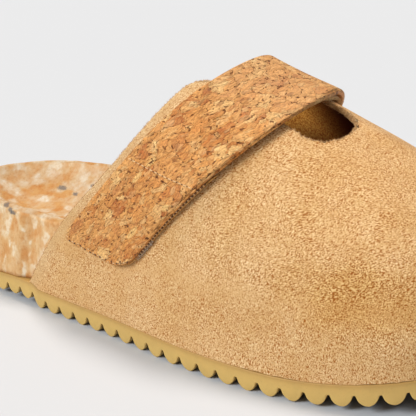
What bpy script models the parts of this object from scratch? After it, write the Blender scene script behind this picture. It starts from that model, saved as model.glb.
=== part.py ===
"""Right-foot clog: moulded outsole, cork footbed, hollow suede upper and instep strap.

Sizes are in millimetres until add_object turns them into metres.
X runs from heel to toe, Y is positive on the medial side, Z is up from the floor.
"""

import math

import bmesh
import bpy
import numpy as np

MM = 0.001

# Sole outline: distance from the heel, and the half width to each side.
OUTLINE_COLUMNS = ("x", "lateral", "medial")
OUTLINE_ROWS = (
    (4.0, 16.0, 14.0),
    (18.0, 28.5, 26.0),
    (45.3, 32.8, 32.0),
    (85.0, 37.8, 33.0),
    (125.0, 42.8, 37.0),
    (160.0, 48.3, 44.0),
    (190.0, 49.2, 48.6),
    (215.4, 45.5, 47.0),
    (240.3, 34.1, 39.5),
    (255.9, 13.9, 26.0),
)
HEEL_BACK = (0.0, 0.0)
TOE_TIP = (261.7, 10.0)
OUTLINE_STEPS = 6000

# Outsole: lugs round the edge below a plain band.
LUG_COUNT = 75
LUG_PHASE = 79.1
LUG_DEPTH = 3.6
LUG_ROUNDING = 0.55
LUG_SHARE = 0.86
LUG_STEPS = 6
LUG_LENGTH = 9.0
LUG_FADE = 4.5
BAND_HEIGHT = 3.65
TOE_SPRING = 10.7
SPRING_START = 190.0
WAIST_LIFT = 1.8
WAIST_START = 34.0
WAIST_FULL = 72.0
WAIST_END = 79.0
WAIST_STEP = 5.0

# Gaps between neighbouring pieces.
GAP = 0.3
STRAP_GAP = 0.45

# Footbed: wall inset from the outline, and heights above the floor by section.
FOOTBED_COLUMNS = ("x", "inset", "taper", "lateral_rim", "medial_rim", "tread")
FOOTBED_ROWS = (
    (0.0, 0.4, 2.6, 33.5, 33.5, 23.0),
    (35.0, 0.4, 3.2, 36.4, 37.6, 22.0),
    (63.0, 0.4, 4.2, 35.3, 39.7, 23.7),
    (72.5, 2.8, 4.2, 34.4, 40.0, 24.8),
    (95.0, 2.8, 5.2, 34.8, 39.7, 26.5),
    (125.0, 2.8, 3.6, 28.0, 34.0, 24.5),
    (160.0, 2.8, 2.2, 20.5, 23.5, 18.5),
    (195.0, 2.8, 1.8, 18.0, 19.0, 14.5),
    (262.0, 2.8, 1.8, 28.0, 28.0, 25.5),
)
FOOTBED_STEPS = 108
FOOTBED_RINGS = 7
RIM_ROUND = 3.0
HEEL_CENTRE = 36.0
TOE_CENTRE = 214.0
CUP_POWER = 2.3
BOWL_END = 0.9

# Upper: the ridge of the last, and the fullness of each section.
RIDGE_Y = 9.4
RIDGE_COLUMNS = ("x", "z")
RIDGE_ROWS = (
    (60.0, 123.4),
    (100.0, 113.4),
    (146.0, 97.4),
    (154.0, 93.3),
    (170.0, 86.1),
    (188.0, 78.8),
)
SECTION_COLUMNS = ("x", "side_fullness", "top_fullness")
SECTION_ROWS = (
    (77.0, 0.38, 0.45),
    (110.0, 0.475, 0.465),
    (150.0, 0.53, 0.58),
    (188.0, 0.48, 0.51),
    (230.0, 0.51, 0.42),
    (262.0, 0.50, 0.415),
)
FAN_X = 188.0
FAN_SOFTNESS = 18.0
WALL = 1.8
UPPER_INSET = 0.5
UPPER_STEPS = 84
UPPER_ROWS = 11

# Throat slot, open towards the collar.
SLOT_END_X = 183.5
SLOT_Y = 0.8
SLOT_RADIUS = 11.6

# Collar edge seen from the side, and the round where it turns into the slot.
COLLAR_COLUMNS = ("z", "x")
COLLAR_ROWS = (
    (7.0, 73.6),
    (34.0, 92.7),
    (60.0, 116.9),
    (88.0, 139.6),
    (116.0, 162.0),
)
CORNER_START = 0.86
CORNER_REACH = 10.0
MEDIAL_CORNER_START = 0.74
MEDIAL_CORNER_REACH = 22.0

# Strap: its two edges seen from the side, as x at two heights, and its ends.
STRAP_LOW = 30.0
STRAP_HIGH = 84.0
STRAP_REAR = (95.9, 143.8)
STRAP_FRONT = (134.4, 182.6)
STRAP_THICKNESS = 2.2
STRAP_END_REAR = 32.0
STRAP_END_FRONT = 27.2
STRAP_CORNER_REAR = 4.5
STRAP_CORNER_FRONT = 8.0
STRAP_WIDTH = 30.0
STRAP_MEDIAL_END = 17.0
STRAP_ACROSS = 9
STRAP_ALONG = 20

ROOT_STEPS = 34


def table(rows, columns, name):
    """One named column of a table."""
    return np.array([row[columns.index(name)] for row in rows])


def smooth_curve(x, knots, values):
    """Monotone cubic through the rows of a table."""
    spans = np.diff(knots)
    slopes = np.diff(values) / spans
    tangents = np.zeros(len(knots))
    tangents[0] = slopes[0]
    tangents[-1] = slopes[-1]
    for i in range(1, len(knots) - 1):
        before, after = slopes[i - 1], slopes[i]
        if before * after > 0:
            wide = 2 * spans[i] + spans[i - 1]
            narrow = spans[i] + 2 * spans[i - 1]
            tangents[i] = (wide + narrow) / (wide / before + narrow / after)
    x = np.clip(x, knots[0], knots[-1])
    i = np.clip(np.searchsorted(knots, x, side="right") - 1, 0, len(spans) - 1)
    t = (x - knots[i]) / spans[i]
    start = (1 + 2 * t) * (1 - t) ** 2 * values[i] + t * (1 - t) ** 2 * spans[i] * tangents[i]
    end = t * t * (3 - 2 * t) * values[i + 1] + t * t * (t - 1) * spans[i] * tangents[i + 1]
    return start + end


def read_table(x, rows, columns, name):
    """A named column at any place along its first column."""
    return smooth_curve(x, table(rows, columns, columns[0]), table(rows, columns, name))


def ease(start, end, x):
    t = np.clip((x - start) / (end - start), 0.0, 1.0)
    return t * t * (3 - 2 * t)


def solve(measure, low, high):
    """Where a rising measure crosses zero, by halving."""
    for _ in range(ROOT_STEPS):
        middle = (low + high) / 2
        below = measure(middle) < 0
        low = np.where(below, middle, low)
        high = np.where(below, high, middle)
    return (low + high) / 2


def outline_points():
    """Heel back, lateral side, toe tip, medial side."""
    x = table(OUTLINE_ROWS, OUTLINE_COLUMNS, "x")
    lateral = np.stack([x, -table(OUTLINE_ROWS, OUTLINE_COLUMNS, "lateral")], 1)
    medial = np.stack([x, table(OUTLINE_ROWS, OUTLINE_COLUMNS, "medial")], 1)
    return np.vstack([HEEL_BACK, lateral, TOE_TIP, medial[::-1]])


def closed_spline(points, steps):
    """A smooth closed curve through points, as a fine polyline."""
    count = len(points)
    ahead = np.roll(points, -1, axis=0)
    spans = np.linalg.norm(ahead - points, axis=1)
    matrix = np.zeros((count, count))
    rates = (ahead - points) / spans[:, None]
    for i in range(count):
        matrix[i, i - 1] += spans[i - 1]
        matrix[i, i] += 2 * (spans[i - 1] + spans[i])
        matrix[i, (i + 1) % count] += spans[i]
    bends = np.linalg.solve(matrix, 6 * (rates - np.roll(rates, 1, axis=0)))
    knots = np.concatenate([[0.0], np.cumsum(spans)])
    place = np.linspace(0.0, knots[-1], steps + 1)
    i = np.clip(np.searchsorted(knots, place, side="right") - 1, 0, count - 1)
    span = spans[i][:, None]
    t = (place - knots[i])[:, None]
    left = bends[i]
    right = bends[(i + 1) % count]
    cubic = left * (span - t) ** 3 / (6 * span) + right * t ** 3 / (6 * span)
    linear = (points[i] / span - left * span / 6) * (span - t)
    return cubic + linear + (ahead[i] / span - right * span / 6) * t


EDGE = closed_spline(outline_points(), OUTLINE_STEPS)
EDGE_LENGTHS = np.concatenate([[0.0], np.cumsum(np.linalg.norm(np.diff(EDGE, axis=0), axis=1))])
PERIMETER = EDGE_LENGTHS[-1]
TOE_INDEX = int(np.argmax(EDGE[:, 0]))
TOE_S = EDGE_LENGTHS[TOE_INDEX]
CENTRE = (EDGE.min(axis=0) + EDGE.max(axis=0)) / 2


def edge_at(s):
    s = np.mod(s, PERIMETER)
    return np.stack([np.interp(s, EDGE_LENGTHS, EDGE[:, k]) for k in (0, 1)], -1)


def outline(s, inset):
    """Point of the outline at arc length s from the heel, moved inwards."""
    reach = 0.5
    ahead = edge_at(s + reach) - edge_at(s - reach)
    ahead = ahead / np.linalg.norm(ahead, axis=-1, keepdims=True)
    inward = np.stack([-ahead[..., 1], ahead[..., 0]], -1)
    return edge_at(s) + inward * np.expand_dims(inset, -1)


def side_s(x, side):
    """Arc length where the outline passes x on the lateral (-1) or medial (1) side."""
    if side < 0:
        return np.interp(x, EDGE[:TOE_INDEX, 0], EDGE_LENGTHS[:TOE_INDEX])
    return np.interp(-x, -EDGE[TOE_INDEX:, 0], EDGE_LENGTHS[TOE_INDEX:])


def floor_lift(x):
    """Height of the tread above the floor: toe spring, and the raised waist."""
    spring = TOE_SPRING * (np.clip(x - SPRING_START, 0, None) / (TOE_TIP[0] - SPRING_START)) ** 2
    waist = ease(WAIST_START, WAIST_FULL, x) - ease(WAIST_END - WAIST_STEP / 2, WAIST_END + WAIST_STEP / 2, x)
    return spring + WAIST_LIFT * np.clip(waist, 0, None)


def sole_top(x):
    return floor_lift(x) + LUG_DEPTH + BAND_HEIGHT


def bed_base(x):
    """Underside of the footbed: level past the waist, over the upper's turned-in margin."""
    spring = np.where(x > SPRING_START, floor_lift(x), 0.0)
    return LUG_DEPTH + BAND_HEIGHT + GAP + WAIST_LIFT * ease(WAIST_START, WAIST_FULL, x) + spring


def footbed(x, name):
    return read_table(x, FOOTBED_ROWS, FOOTBED_COLUMNS, name)


def upper_point(s, w):
    """Outer face of the upper: from the sole edge (w = 0) up to the ridge (w = 1).

    Each section is a cubic with an upright handle at the sole edge and a level one at the ridge.
    """
    foot = outline(s, np.full(np.shape(s), UPPER_INSET))
    x, y = foot[..., 0], foot[..., 1]
    low = np.maximum(sole_top(x), sole_top(x - WAIST_STEP / 2)) + GAP
    top_x = FAN_X - FAN_SOFTNESS * np.logaddexp(0.0, (FAN_X - x) / FAN_SOFTNESS)
    high = read_table(top_x, RIDGE_ROWS, RIDGE_COLUMNS, "z")
    step = 0.5
    fall = read_table(top_x - step, RIDGE_ROWS, RIDGE_COLUMNS, "z")
    fall = fall - read_table(top_x + step, RIDGE_ROWS, RIDGE_COLUMNS, "z")
    side = read_table(x, SECTION_ROWS, SECTION_COLUMNS, "side_fullness")
    top = read_table(x, SECTION_ROWS, SECTION_COLUMNS, "top_fullness")
    run_x, run_y = x - top_x, y - RIDGE_Y
    drop = fall * run_x * top / (high - low)
    inward = 3 * (1 - w) * w * w * (1 - top) + w ** 3
    upward = 3 * (1 - w) ** 2 * w * side + 3 * (1 - w) * w * w * (1 - drop) + w ** 3
    return np.stack([x - run_x * inward, y - run_y * inward, low + (high - low) * upward], -1)


def upper_normal(s, w):
    """Outward unit normal of the upper's outer face."""
    along = upper_point(s + 1.0, w) - upper_point(s - 1.0, w)
    rise = upper_point(s, np.minimum(w + 0.02, 1.0)) - upper_point(s, np.maximum(w - 0.02, 0.0))
    normal = np.cross(along, rise)
    return normal / np.linalg.norm(normal, axis=-1, keepdims=True)


def slot_w(s):
    """Where the section at s reaches the edge of the throat slot."""
    def inside(w):
        p = upper_point(s, w)
        ahead = np.clip(p[..., 0] - SLOT_END_X, 0, None)
        return SLOT_RADIUS - np.hypot(ahead, p[..., 1] - SLOT_Y)
    return solve(inside, np.full(np.shape(s), 0.2), np.ones(np.shape(s)))


def crossing_s(w, side, edge_x):
    """Arc length where the upper at w crosses an edge drawn in the side view."""
    def ahead(s):
        p = upper_point(s, w)
        return p[..., 0] - edge_x(p[..., 2])
    behind = np.full(np.shape(w), side_s(20.0, side))
    front = np.full(np.shape(w), TOE_S + side * 12.0)
    return solve(ahead, behind, front)


def collar_x(z):
    return read_table(z, COLLAR_ROWS, COLLAR_COLUMNS, "x")


def collar_corner(side):
    """Height parameter where the collar edge meets the slot."""
    def above(w):
        return w - slot_w(crossing_s(w, side, collar_x))
    return float(solve(above, np.array([0.3]), np.array([1.0]))[0])


def corner_turn(v, start, reach):
    """How far the collar edge bends away from its line as it turns into the slot."""
    turn = np.clip((v - start) / (1 - start), 0.0, 1.0)
    return reach * (1 - np.sqrt(1 - turn ** 2))


def upper_grid():
    """Rows of points from the sole edge to the slot, lateral collar to medial collar."""
    v = np.linspace(0.0, 1.0, UPPER_ROWS + 1)
    starts = crossing_s(v * collar_corner(-1), -1, collar_x) + corner_turn(v, CORNER_START, CORNER_REACH)
    ends = crossing_s(v * collar_corner(1), 1, collar_x)
    ends = ends - corner_turn(v, MEDIAL_CORNER_START, MEDIAL_CORNER_REACH)
    u = np.linspace(0.0, 1.0, UPPER_STEPS + 1)
    top_w = slot_w(starts[-1] + (ends[-1] - starts[-1]) * u)
    rows = []
    for start, end, share in zip(starts, ends, v):
        rows.append(upper_point(start + (end - start) * u, share * top_w))
    return np.array(rows)


def strap_edge_x(share):
    """Side-view line of the strap at a share of its width, rear to front."""
    low = STRAP_REAR[0] + (STRAP_FRONT[0] - STRAP_REAR[0]) * share
    high = STRAP_REAR[1] + (STRAP_FRONT[1] - STRAP_REAR[1]) * share
    return lambda z: low + (high - low) * (z - STRAP_LOW) / (STRAP_HIGH - STRAP_LOW)


def strap_end_z(share):
    """Height of the free end: cut level with the sole, with rounded corners."""
    radius = STRAP_CORNER_REAR if share < 0.5 else STRAP_CORNER_FRONT
    from_edge = STRAP_WIDTH * min(share, 1 - share)
    short = max(radius - from_edge, 0.0)
    corner = radius - math.sqrt(radius ** 2 - short ** 2)
    return STRAP_END_REAR + (STRAP_END_FRONT - STRAP_END_REAR) * share + corner * 0.8


def strap_half(share, side, end_z):
    """Points of one lengthwise line of the strap, from its end up to the ridge."""
    edge_x = strap_edge_x(share)

    def above(w):
        return upper_point(crossing_s(w, side, edge_x), w)[..., 2] - end_z
    end_w = float(solve(above, np.array([0.02]), np.array([0.9]))[0])
    w = np.linspace(end_w, 1.0, STRAP_ALONG + 1)
    s = crossing_s(w, side, edge_x)
    return upper_point(s, w) + upper_normal(s, w) * STRAP_GAP


def strap_grid():
    """Lengthwise lines of the strap's inner face, rear to front."""
    lines = []
    for share in np.linspace(0.0, 1.0, STRAP_ACROSS + 1):
        lateral = strap_half(share, -1, strap_end_z(share))
        medial = strap_half(share, 1, STRAP_MEDIAL_END)
        lines.append(np.vstack([lateral, medial[-2::-1]]))
    return np.array(lines)


def lug_profile(place):
    """Round-bottomed lugs with narrow slots between them: 0 in a slot, 1 at the middle of a lug."""
    across = (np.mod(place, 1.0) - 0.5) / LUG_SHARE
    return np.cos(np.pi * np.clip(across, -0.5, 0.5)).clip(0.0, 1.0) ** LUG_ROUNDING


def outsole_rings():
    """Closed rings of the outsole: top edge, scalloped edge, and the grooves' run up to a flat panel."""
    count = LUG_COUNT * LUG_STEPS
    pitch = PERIMETER / LUG_COUNT
    s = (np.arange(count) / LUG_STEPS) * pitch + math.fmod(LUG_PHASE, pitch)
    notch = 1 - lug_profile(np.arange(count) / LUG_STEPS)
    rings = []
    edge = outline(s, np.zeros(count))
    rings.append(np.column_stack([edge, sole_top(edge[:, 0])]))
    for inset, depth in ((0.0, LUG_DEPTH), (LUG_LENGTH, LUG_DEPTH), (LUG_LENGTH + LUG_FADE, 0.0)):
        ring = outline(s, np.full(count, inset))
        rings.append(np.column_stack([ring, floor_lift(ring[:, 0]) + depth * notch]))
    return rings


def footbed_rings():
    """Closed rings of the footbed: base, wall, rounded rim and the bowl down to its centre line."""
    s = np.arange(FOOTBED_STEPS) * PERIMETER / FOOTBED_STEPS
    x, y = edge_at(s).T
    medial = ease(-12.0, 12.0, y)
    rim = footbed(x, "lateral_rim") * (1 - medial) + footbed(x, "medial_rim") * medial
    inset = footbed(x, "inset")
    taper = footbed(x, "taper")
    low = bed_base(x)
    rings = []
    for share in (0.0, 0.5, 1.0):
        wall = outline(s, inset + taper * share ** 1.6)
        rings.append(np.column_stack([wall, low + (rim - RIM_ROUND - low) * share]))
    for angle in (math.pi / 4, math.pi / 2):
        top = outline(s, inset + taper + RIM_ROUND * (1 - math.cos(angle)))
        rings.append(np.column_stack([top, rim - RIM_ROUND * (1 - math.sin(angle))]))
    centre_x = np.clip(top[:, 0], HEEL_CENTRE, TOE_CENTRE)
    centre_y = np.interp(centre_x, *centre_line())
    for share in np.linspace(0.0, BOWL_END, FOOTBED_RINGS + 1)[1:]:
        ring_x = top[:, 0] + (centre_x - top[:, 0]) * share
        ring_y = top[:, 1] + (centre_y - top[:, 1]) * share
        tread = footbed(ring_x, "tread")
        rings.append(np.column_stack([ring_x, ring_y, tread + (rim - tread) * (1 - share) ** CUP_POWER]))
    return rings


def centre_line():
    """Middle of the outline along the foot."""
    x = np.linspace(HEEL_CENTRE, TOE_CENTRE, 40)
    middle = (edge_at(side_s(x, -1))[:, 1] + edge_at(side_s(x, 1))[:, 1]) / 2
    return x, middle


def add_object(name, points, faces, colour, roughness):
    """A named mesh object in metres, centred over the sole's outline."""
    origin = np.array([CENTRE[0], CENTRE[1], 0.0])
    mesh = bpy.data.meshes.new(name)
    mesh.from_pydata(((np.asarray(points) - origin) * MM).tolist(), [], faces)
    tidy = bmesh.new()
    tidy.from_mesh(mesh)
    bmesh.ops.remove_doubles(tidy, verts=tidy.verts, dist=0.00001)
    bmesh.ops.recalc_face_normals(tidy, faces=tidy.faces)
    tidy.to_mesh(mesh)
    tidy.free()
    mesh.shade_smooth()
    mesh.set_sharp_from_angle(angle=math.radians(40))
    material = bpy.data.materials.new(name)
    material.use_nodes = True
    shader = material.node_tree.nodes["Principled BSDF"]
    shader.inputs["Base Color"].default_value = (*colour, 1.0)
    shader.inputs["Roughness"].default_value = roughness
    shader.inputs["Metallic"].default_value = 0.0
    mesh.materials.append(material)
    thing = bpy.data.objects.new(name, mesh)
    bpy.context.collection.objects.link(thing)
    return thing


def zip_cap(first, x):
    """Triangles that close a ring across the shoe, kept square to its length."""
    count = len(x)
    heel, toe = int(np.argmin(x)), int(np.argmax(x))
    lateral = [(heel + k) % count for k in range((toe - heel) % count + 1)]
    medial = [(heel - k) % count for k in range((heel - toe) % count + 1)]
    faces = []
    i = j = 0
    while i + j < len(lateral) + len(medial) - 2:
        lateral_next = lateral[min(i + 1, len(lateral) - 1)]
        medial_next = medial[min(j + 1, len(medial) - 1)]
        done = j == len(medial) - 1
        if done or (i < len(lateral) - 1 and x[lateral_next] <= x[medial_next]):
            corners = [lateral[i], lateral_next, medial[j]]
            i += 1
        else:
            corners = [lateral[i], medial_next, medial[j]]
            j += 1
        if len(set(corners)) == 3:
            faces.append([first + corner for corner in corners])
    return faces


def ring_faces(ring_count, count):
    """Quads between neighbouring closed rings."""
    faces = []
    for ring in range(ring_count - 1):
        for i in range(count):
            ahead = (i + 1) % count
            low, high = ring * count, (ring + 1) * count
            faces.append([low + i, low + ahead, high + ahead, high + i])
    return faces


def grid_faces(rows, columns):
    faces = []
    for r in range(rows - 1):
        for c in range(columns - 1):
            corner = r * columns + c
            faces.append([corner, corner + 1, corner + columns + 1, corner + columns])
    return faces


def add_shell(name, grid, thickness, grow, colour, roughness):
    """A sheet of points given a wall by a Solidify modifier, grown out (1) or in (-1)."""
    rows, columns, _ = grid.shape
    thing = add_object(name, grid.reshape(-1, 3), grid_faces(rows, columns), colour, roughness)
    centre = thing.data.polygons[len(thing.data.polygons) // 2]
    if centre.normal.z < 0:
        thing.data.flip_normals()
    wall = thing.modifiers.new("wall", "SOLIDIFY")
    wall.thickness = thickness * MM
    wall.offset = grow
    wall.use_even_offset = True
    return thing


def add_outsole():
    rings = outsole_rings()
    count = len(rings[0])
    faces = ring_faces(len(rings), count)
    faces += zip_cap(0, rings[0][:, 0])
    faces += zip_cap((len(rings) - 1) * count, rings[-1][:, 0])
    add_object("outsole", np.vstack(rings), faces, (0.46, 0.33, 0.13), 0.6)


def add_footbed():
    rings = footbed_rings()
    count = len(rings[0])
    faces = ring_faces(len(rings), count)
    faces += zip_cap(0, rings[0][:, 0])
    faces += zip_cap((len(rings) - 1) * count, rings[-1][:, 0])
    add_object("footbed", np.vstack(rings), faces, (0.62, 0.38, 0.19), 0.75)


def add_upper():
    add_shell("upper", upper_grid(), WALL, -1.0, (0.55, 0.36, 0.18), 0.95)


def add_strap():
    add_shell("strap", strap_grid(), STRAP_THICKNESS, 1.0, (0.50, 0.25, 0.10), 0.6)


def main():
    for thing in list(bpy.data.objects):
        bpy.data.objects.remove(thing, do_unlink=True)
    add_outsole()
    add_footbed()
    add_upper()
    add_strap()


main()
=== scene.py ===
import math

import bmesh
import bpy
import numpy as np
from mathutils import Matrix, Vector, noise


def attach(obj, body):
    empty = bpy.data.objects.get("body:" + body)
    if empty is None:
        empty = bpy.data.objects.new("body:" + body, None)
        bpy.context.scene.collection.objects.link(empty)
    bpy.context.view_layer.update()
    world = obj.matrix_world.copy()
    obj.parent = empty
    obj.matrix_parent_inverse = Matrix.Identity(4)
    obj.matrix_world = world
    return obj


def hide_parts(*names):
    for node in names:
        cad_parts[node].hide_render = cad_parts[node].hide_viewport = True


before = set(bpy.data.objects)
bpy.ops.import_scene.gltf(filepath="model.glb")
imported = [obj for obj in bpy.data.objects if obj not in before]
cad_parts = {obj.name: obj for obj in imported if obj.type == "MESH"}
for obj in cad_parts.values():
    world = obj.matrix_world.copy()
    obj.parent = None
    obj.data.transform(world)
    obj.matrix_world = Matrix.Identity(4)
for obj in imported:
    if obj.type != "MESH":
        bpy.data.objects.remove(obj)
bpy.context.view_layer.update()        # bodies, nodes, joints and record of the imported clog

# Looks of the right-foot clog. Sizes are in millimetres until add_piece turns them into metres.
# X runs from heel to toe, Y is positive on the medial side, Z is up from the floor.
MM = 0.001
RANDOM = np.random.default_rng(7)

# Sole outline: distance from the heel, and the half width to each side.
OUTLINE_COLUMNS = ("x", "lateral", "medial")
OUTLINE_ROWS = (
    (4.0, 16.0, 14.0),
    (18.0, 28.5, 26.0),
    (45.3, 32.8, 32.0),
    (85.0, 37.8, 33.0),
    (125.0, 42.8, 37.0),
    (160.0, 48.3, 44.0),
    (190.0, 49.2, 48.6),
    (215.4, 45.5, 47.0),
    (240.3, 34.1, 39.5),
    (255.9, 13.9, 26.0),
)
HEEL_BACK = (0.0, 0.0)
TOE_TIP = (261.7, 10.0)
OUTLINE_STEPS = 6000

# Outsole: lugs round the edge below a plain band.
LUG_COUNT = 75
LUG_PHASE = 79.1
LUG_DEPTH = 3.6
LUG_ROUNDING = 0.48
LUG_LEAN = 0.06
LUG_SHARE = 0.86
LUG_SHARP = 55.0
LUG_BEVEL = 0.3
LUG_STEPS = 24
LUG_LENGTH = 9.0
LUG_FADE = 4.5
# Band values of the slot rings: the low ones give painted shade inside the slots.
SLOT_INSETS = (1.2, 2.5, 5.0, LUG_LENGTH)
SLOT_SHADES = (0.12, 0.06, 0.0, 0.0)
LUG_SHADE = 0.2
WALL_SHADE = 0.45
WALL_SHADE_RISE = 0.5
WALL_SHARES = (1.0, 0.75, 0.5, 0.25, 0.0)
BEVEL_TURNS = np.radians((0.0, 30.0, 60.0, 90.0))
BAND_HEIGHT = 3.65
SOLE_ROUND = 0.3
TOE_SPRING = 10.7
SPRING_START = 190.0
WAIST_LIFT = 1.8
WAIST_START = 34.0
WAIST_FULL = 72.0
WAIST_END = 79.0
WAIST_STEP = 5.0
GAP = 0.3

# Footbed: wall inset from the outline, and heights above the floor by section.
FOOTBED_COLUMNS = ("x", "inset", "taper", "lateral_rim", "medial_rim", "tread")
FOOTBED_ROWS = (
    (0.0, 0.4, 2.6, 33.5, 33.5, 23.0),
    (35.0, 0.4, 3.2, 36.4, 37.6, 22.0),
    (66.0, 0.4, 4.2, 35.3, 39.7, 23.7),
    (74.0, 2.8, 4.2, 34.4, 40.0, 24.8),
    (95.0, 2.8, 5.2, 34.8, 39.7, 26.5),
    (125.0, 2.8, 3.6, 28.0, 34.0, 24.5),
    (160.0, 2.8, 2.2, 20.5, 23.5, 18.5),
    (195.0, 2.8, 1.8, 18.0, 19.0, 14.5),
    (262.0, 2.8, 1.8, 28.0, 28.0, 25.5),
)
FOOTBED_STEPS = 400
FOOTBED_WALL_RINGS = 14
FOOTBED_RIM_RINGS = 10
FOOTBED_BOWL_RINGS = 34
FOOTBED_ROUGH = 0.22
FOOTBED_ROUGH_SIZE = 6.0
TAPER_POWER = 1.6
MEDIAL_BLEND = 12.0
RIM_ROUND = 3.0
HEEL_CENTRE = 36.0
TOE_CENTRE = 214.0
CENTRE_STEPS = 40
CUP_POWER = 2.3
BOWL_END = 0.9

# Grey-blue flecks pressed into the footbed: place (x, y, z) and half sizes along the three axes.
FLECK_ROWS = (
    (57.7, -27.9, 35.0, 1.7, 1.6, 1.0),
    (60.9, -29.2, 33.8, 1.5, 1.4, 0.9),
    (62.7, -29.5, 33.2, 1.7, 1.5, 0.7),
    (44.2, 16.1, 28.4, 2.6, 1.8, 0.8),
    (53.5, 14.3, 27.6, 1.6, 1.4, 0.6),
    (61.5, 18.5, 31.4, 2.3, 1.5, 0.8),
)

# Upper: the ridge of the last, and the fullness of each section.
RIDGE_Y = 9.4
RIDGE_COLUMNS = ("x", "z")
RIDGE_ROWS = (
    (60.0, 123.4),
    (100.0, 113.4),
    (146.0, 97.4),
    (154.0, 93.3),
    (170.0, 86.1),
    (188.0, 78.8),
)
SECTION_COLUMNS = ("x", "side_fullness", "top_fullness")
SECTION_ROWS = (
    (77.0, 0.38, 0.45),
    (110.0, 0.475, 0.465),
    (150.0, 0.53, 0.58),
    (188.0, 0.48, 0.51),
    (230.0, 0.51, 0.42),
    (262.0, 0.50, 0.415),
)
FAN_X = 188.0
FAN_SOFTNESS = 18.0
WALL = 1.8
WALL_ROUND = 0.6
UPPER_INSET = 0.5
UPPER_STEPS = 330
UPPER_ROWS = 84
HEM_REACH = 0.02
HEM_BULGE = 0.3
HEM_GAP = 0.04
HEM_OPEN_COLUMNS = ("place", "half_length", "gap")
HEM_OPEN_ROWS = (
    (213.0, 11.0, 0.35),
    (254.0, 10.0, 0.3),
)
HEM_WAVE = (0.9, 2.0, 0.37)
HEM_ROUND = 0.12
# Where the lining's painted shade starts, and where it is still lit or fully dark, along the shoe and in
# height.
LINING_OPEN_X = 125.0
LINING_LIT_X = 150.0
LINING_DARK_X = 180.0
LINING_LIT_Z = 78.0
LINING_DARK_Z = 54.0
COLLAR_JITTER = 0.06
SLOT_JITTER = 0.24

# Throat slot, open towards the collar.
SLOT_END_X = 183.5
SLOT_Y = 0.8
SLOT_RADIUS = 11.6

# Collar edge seen from the side, and the round where it turns into the slot.
COLLAR_COLUMNS = ("z", "x")
COLLAR_ROWS = (
    (7.0, 73.6),
    (34.0, 92.7),
    (60.0, 116.9),
    (88.0, 139.6),
    (116.0, 162.0),
)
CORNER_START = 0.86
CORNER_REACH = 10.0
MEDIAL_CORNER_START = 0.74
MEDIAL_CORNER_REACH = 22.0

# Soft folds of the suede: middle, direction, half length, half width and depth (a ridge is negative).
FOLD_COLUMNS = ("x", "y", "z", "along_x", "along_y", "along_z", "length", "width", "depth")
FOLD_ROWS = (
    (119.0, -42.0, 25.0, 0.95, -0.25, -0.15, 15.0, 5.5, 1.0),
    (221.0, -37.5, 33.5, 0.93, 0.36, 0.03, 24.0, 9.0, 0.8),
    (160.0, -40.0, 48.0, 0.62, 0.20, 0.75, 26.0, 5.0, 0.5),
    (200.0, 3.0, 74.0, 0.85, 0.05, -0.50, 16.0, 8.0, -0.5),
    (192.0, -47.0, 24.0, 0.20, 0.10, 0.97, 14.0, 7.0, 0.45),
    (178.0, 42.0, 30.0, 0.25, -0.20, 0.95, 16.0, 7.0, 0.6),
    (222.0, 40.0, 34.0, 0.90, -0.35, 0.05, 22.0, 9.0, 0.7),
    (120.0, 36.0, 30.0, 0.30, 0.10, 0.95, 14.0, 8.0, 0.6),
)
# A darker brushed patch low on the outer side of the toe: middle and half sizes.
BRUSHED_MIDDLE = (221.0, -37.5, 33.5)
BRUSHED_SIZES = (26.0, 13.0, 10.0)
# Strokes of the nap: their width, and which way they lie on the vamp and low on the sides.
NAP_WIDTH = 0.31
NAP_SWEPT = (0.650, 0.645, 0.402)
NAP_UPRIGHT = (0.0, 0.243, 0.970)
NAP_UPRIGHT_Z = (38.0, 24.0)
NAP_FORE_X = (105.0, 175.0)
# Small gathers where the suede is pulled under round the toe.
PUCKER_PITCH = 3.4
PUCKER_SWAY = (1.7, 5.3)
PUCKER_DEPTH = 0.16
PUCKER_REACH = 0.035
PUCKER_START = 196.0
PUCKER_FULL = 232.0

# Strap: its two edges seen from the side, as x at two heights, and its ends.
STRAP_GAP = 0.45
STRAP_LOW = 30.0
STRAP_HIGH = 84.0
STRAP_REAR = (95.9, 143.8)
STRAP_FRONT = (134.4, 182.6)
STRAP_THICKNESS = 2.2
STRAP_END_REAR = 32.0
STRAP_END_FRONT = 27.2
STRAP_CORNER_REAR = 4.5
STRAP_CORNER_FRONT = 8.0
STRAP_CORNER_DEPTH = 0.8
STRAP_WIDTH = 30.0
STRAP_LENGTH = 203.0
STRAP_MEDIAL_END = 17.0
STRAP_ACROSS = 26
STRAP_ALONG = 190
CORK_THICKNESS = 1.5
CORK_FULL = 2.05
CORK_ROUND = 0.6
EDGE_STEP = 0.25
TAPE_THICKNESS = 0.6
TAPE_LENGTH = 43.0
TAPE_MARGIN = 0.3
TAPE_PAST_END = 0.3
TAPE_FADE = 4.0
TAPE_STEPS = 70
LAYER_ROUND = 0.18
TUFT_COUNT = 420
TUFT_REACH = 10.0
TUFT_LENGTH = (0.6, 1.5)
TUFT_RADIUS = 0.10
TUFT_ROOT = (0.6, 1.0)
TUFT_LEAN = 0.6
FRONT_LIFT = 0.8
FRONT_LIFT_ACROSS = 0.45
FRONT_LIFT_FULL = (0.22, 0.40)
FRONT_LIFT_END = 0.62
CURL_LIFT = 2.4
CURL_MIDDLE = 0.595
CURL_REACH = 0.10
CURL_LAYERS = (0.28, 0.62)
CURL_LAYER_THICKNESS = 0.4
CURL_EDGES = (0.70, 0.99)
CURL_RUN = (98.0, 148.0)
CURL_STEPS = 90
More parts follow.
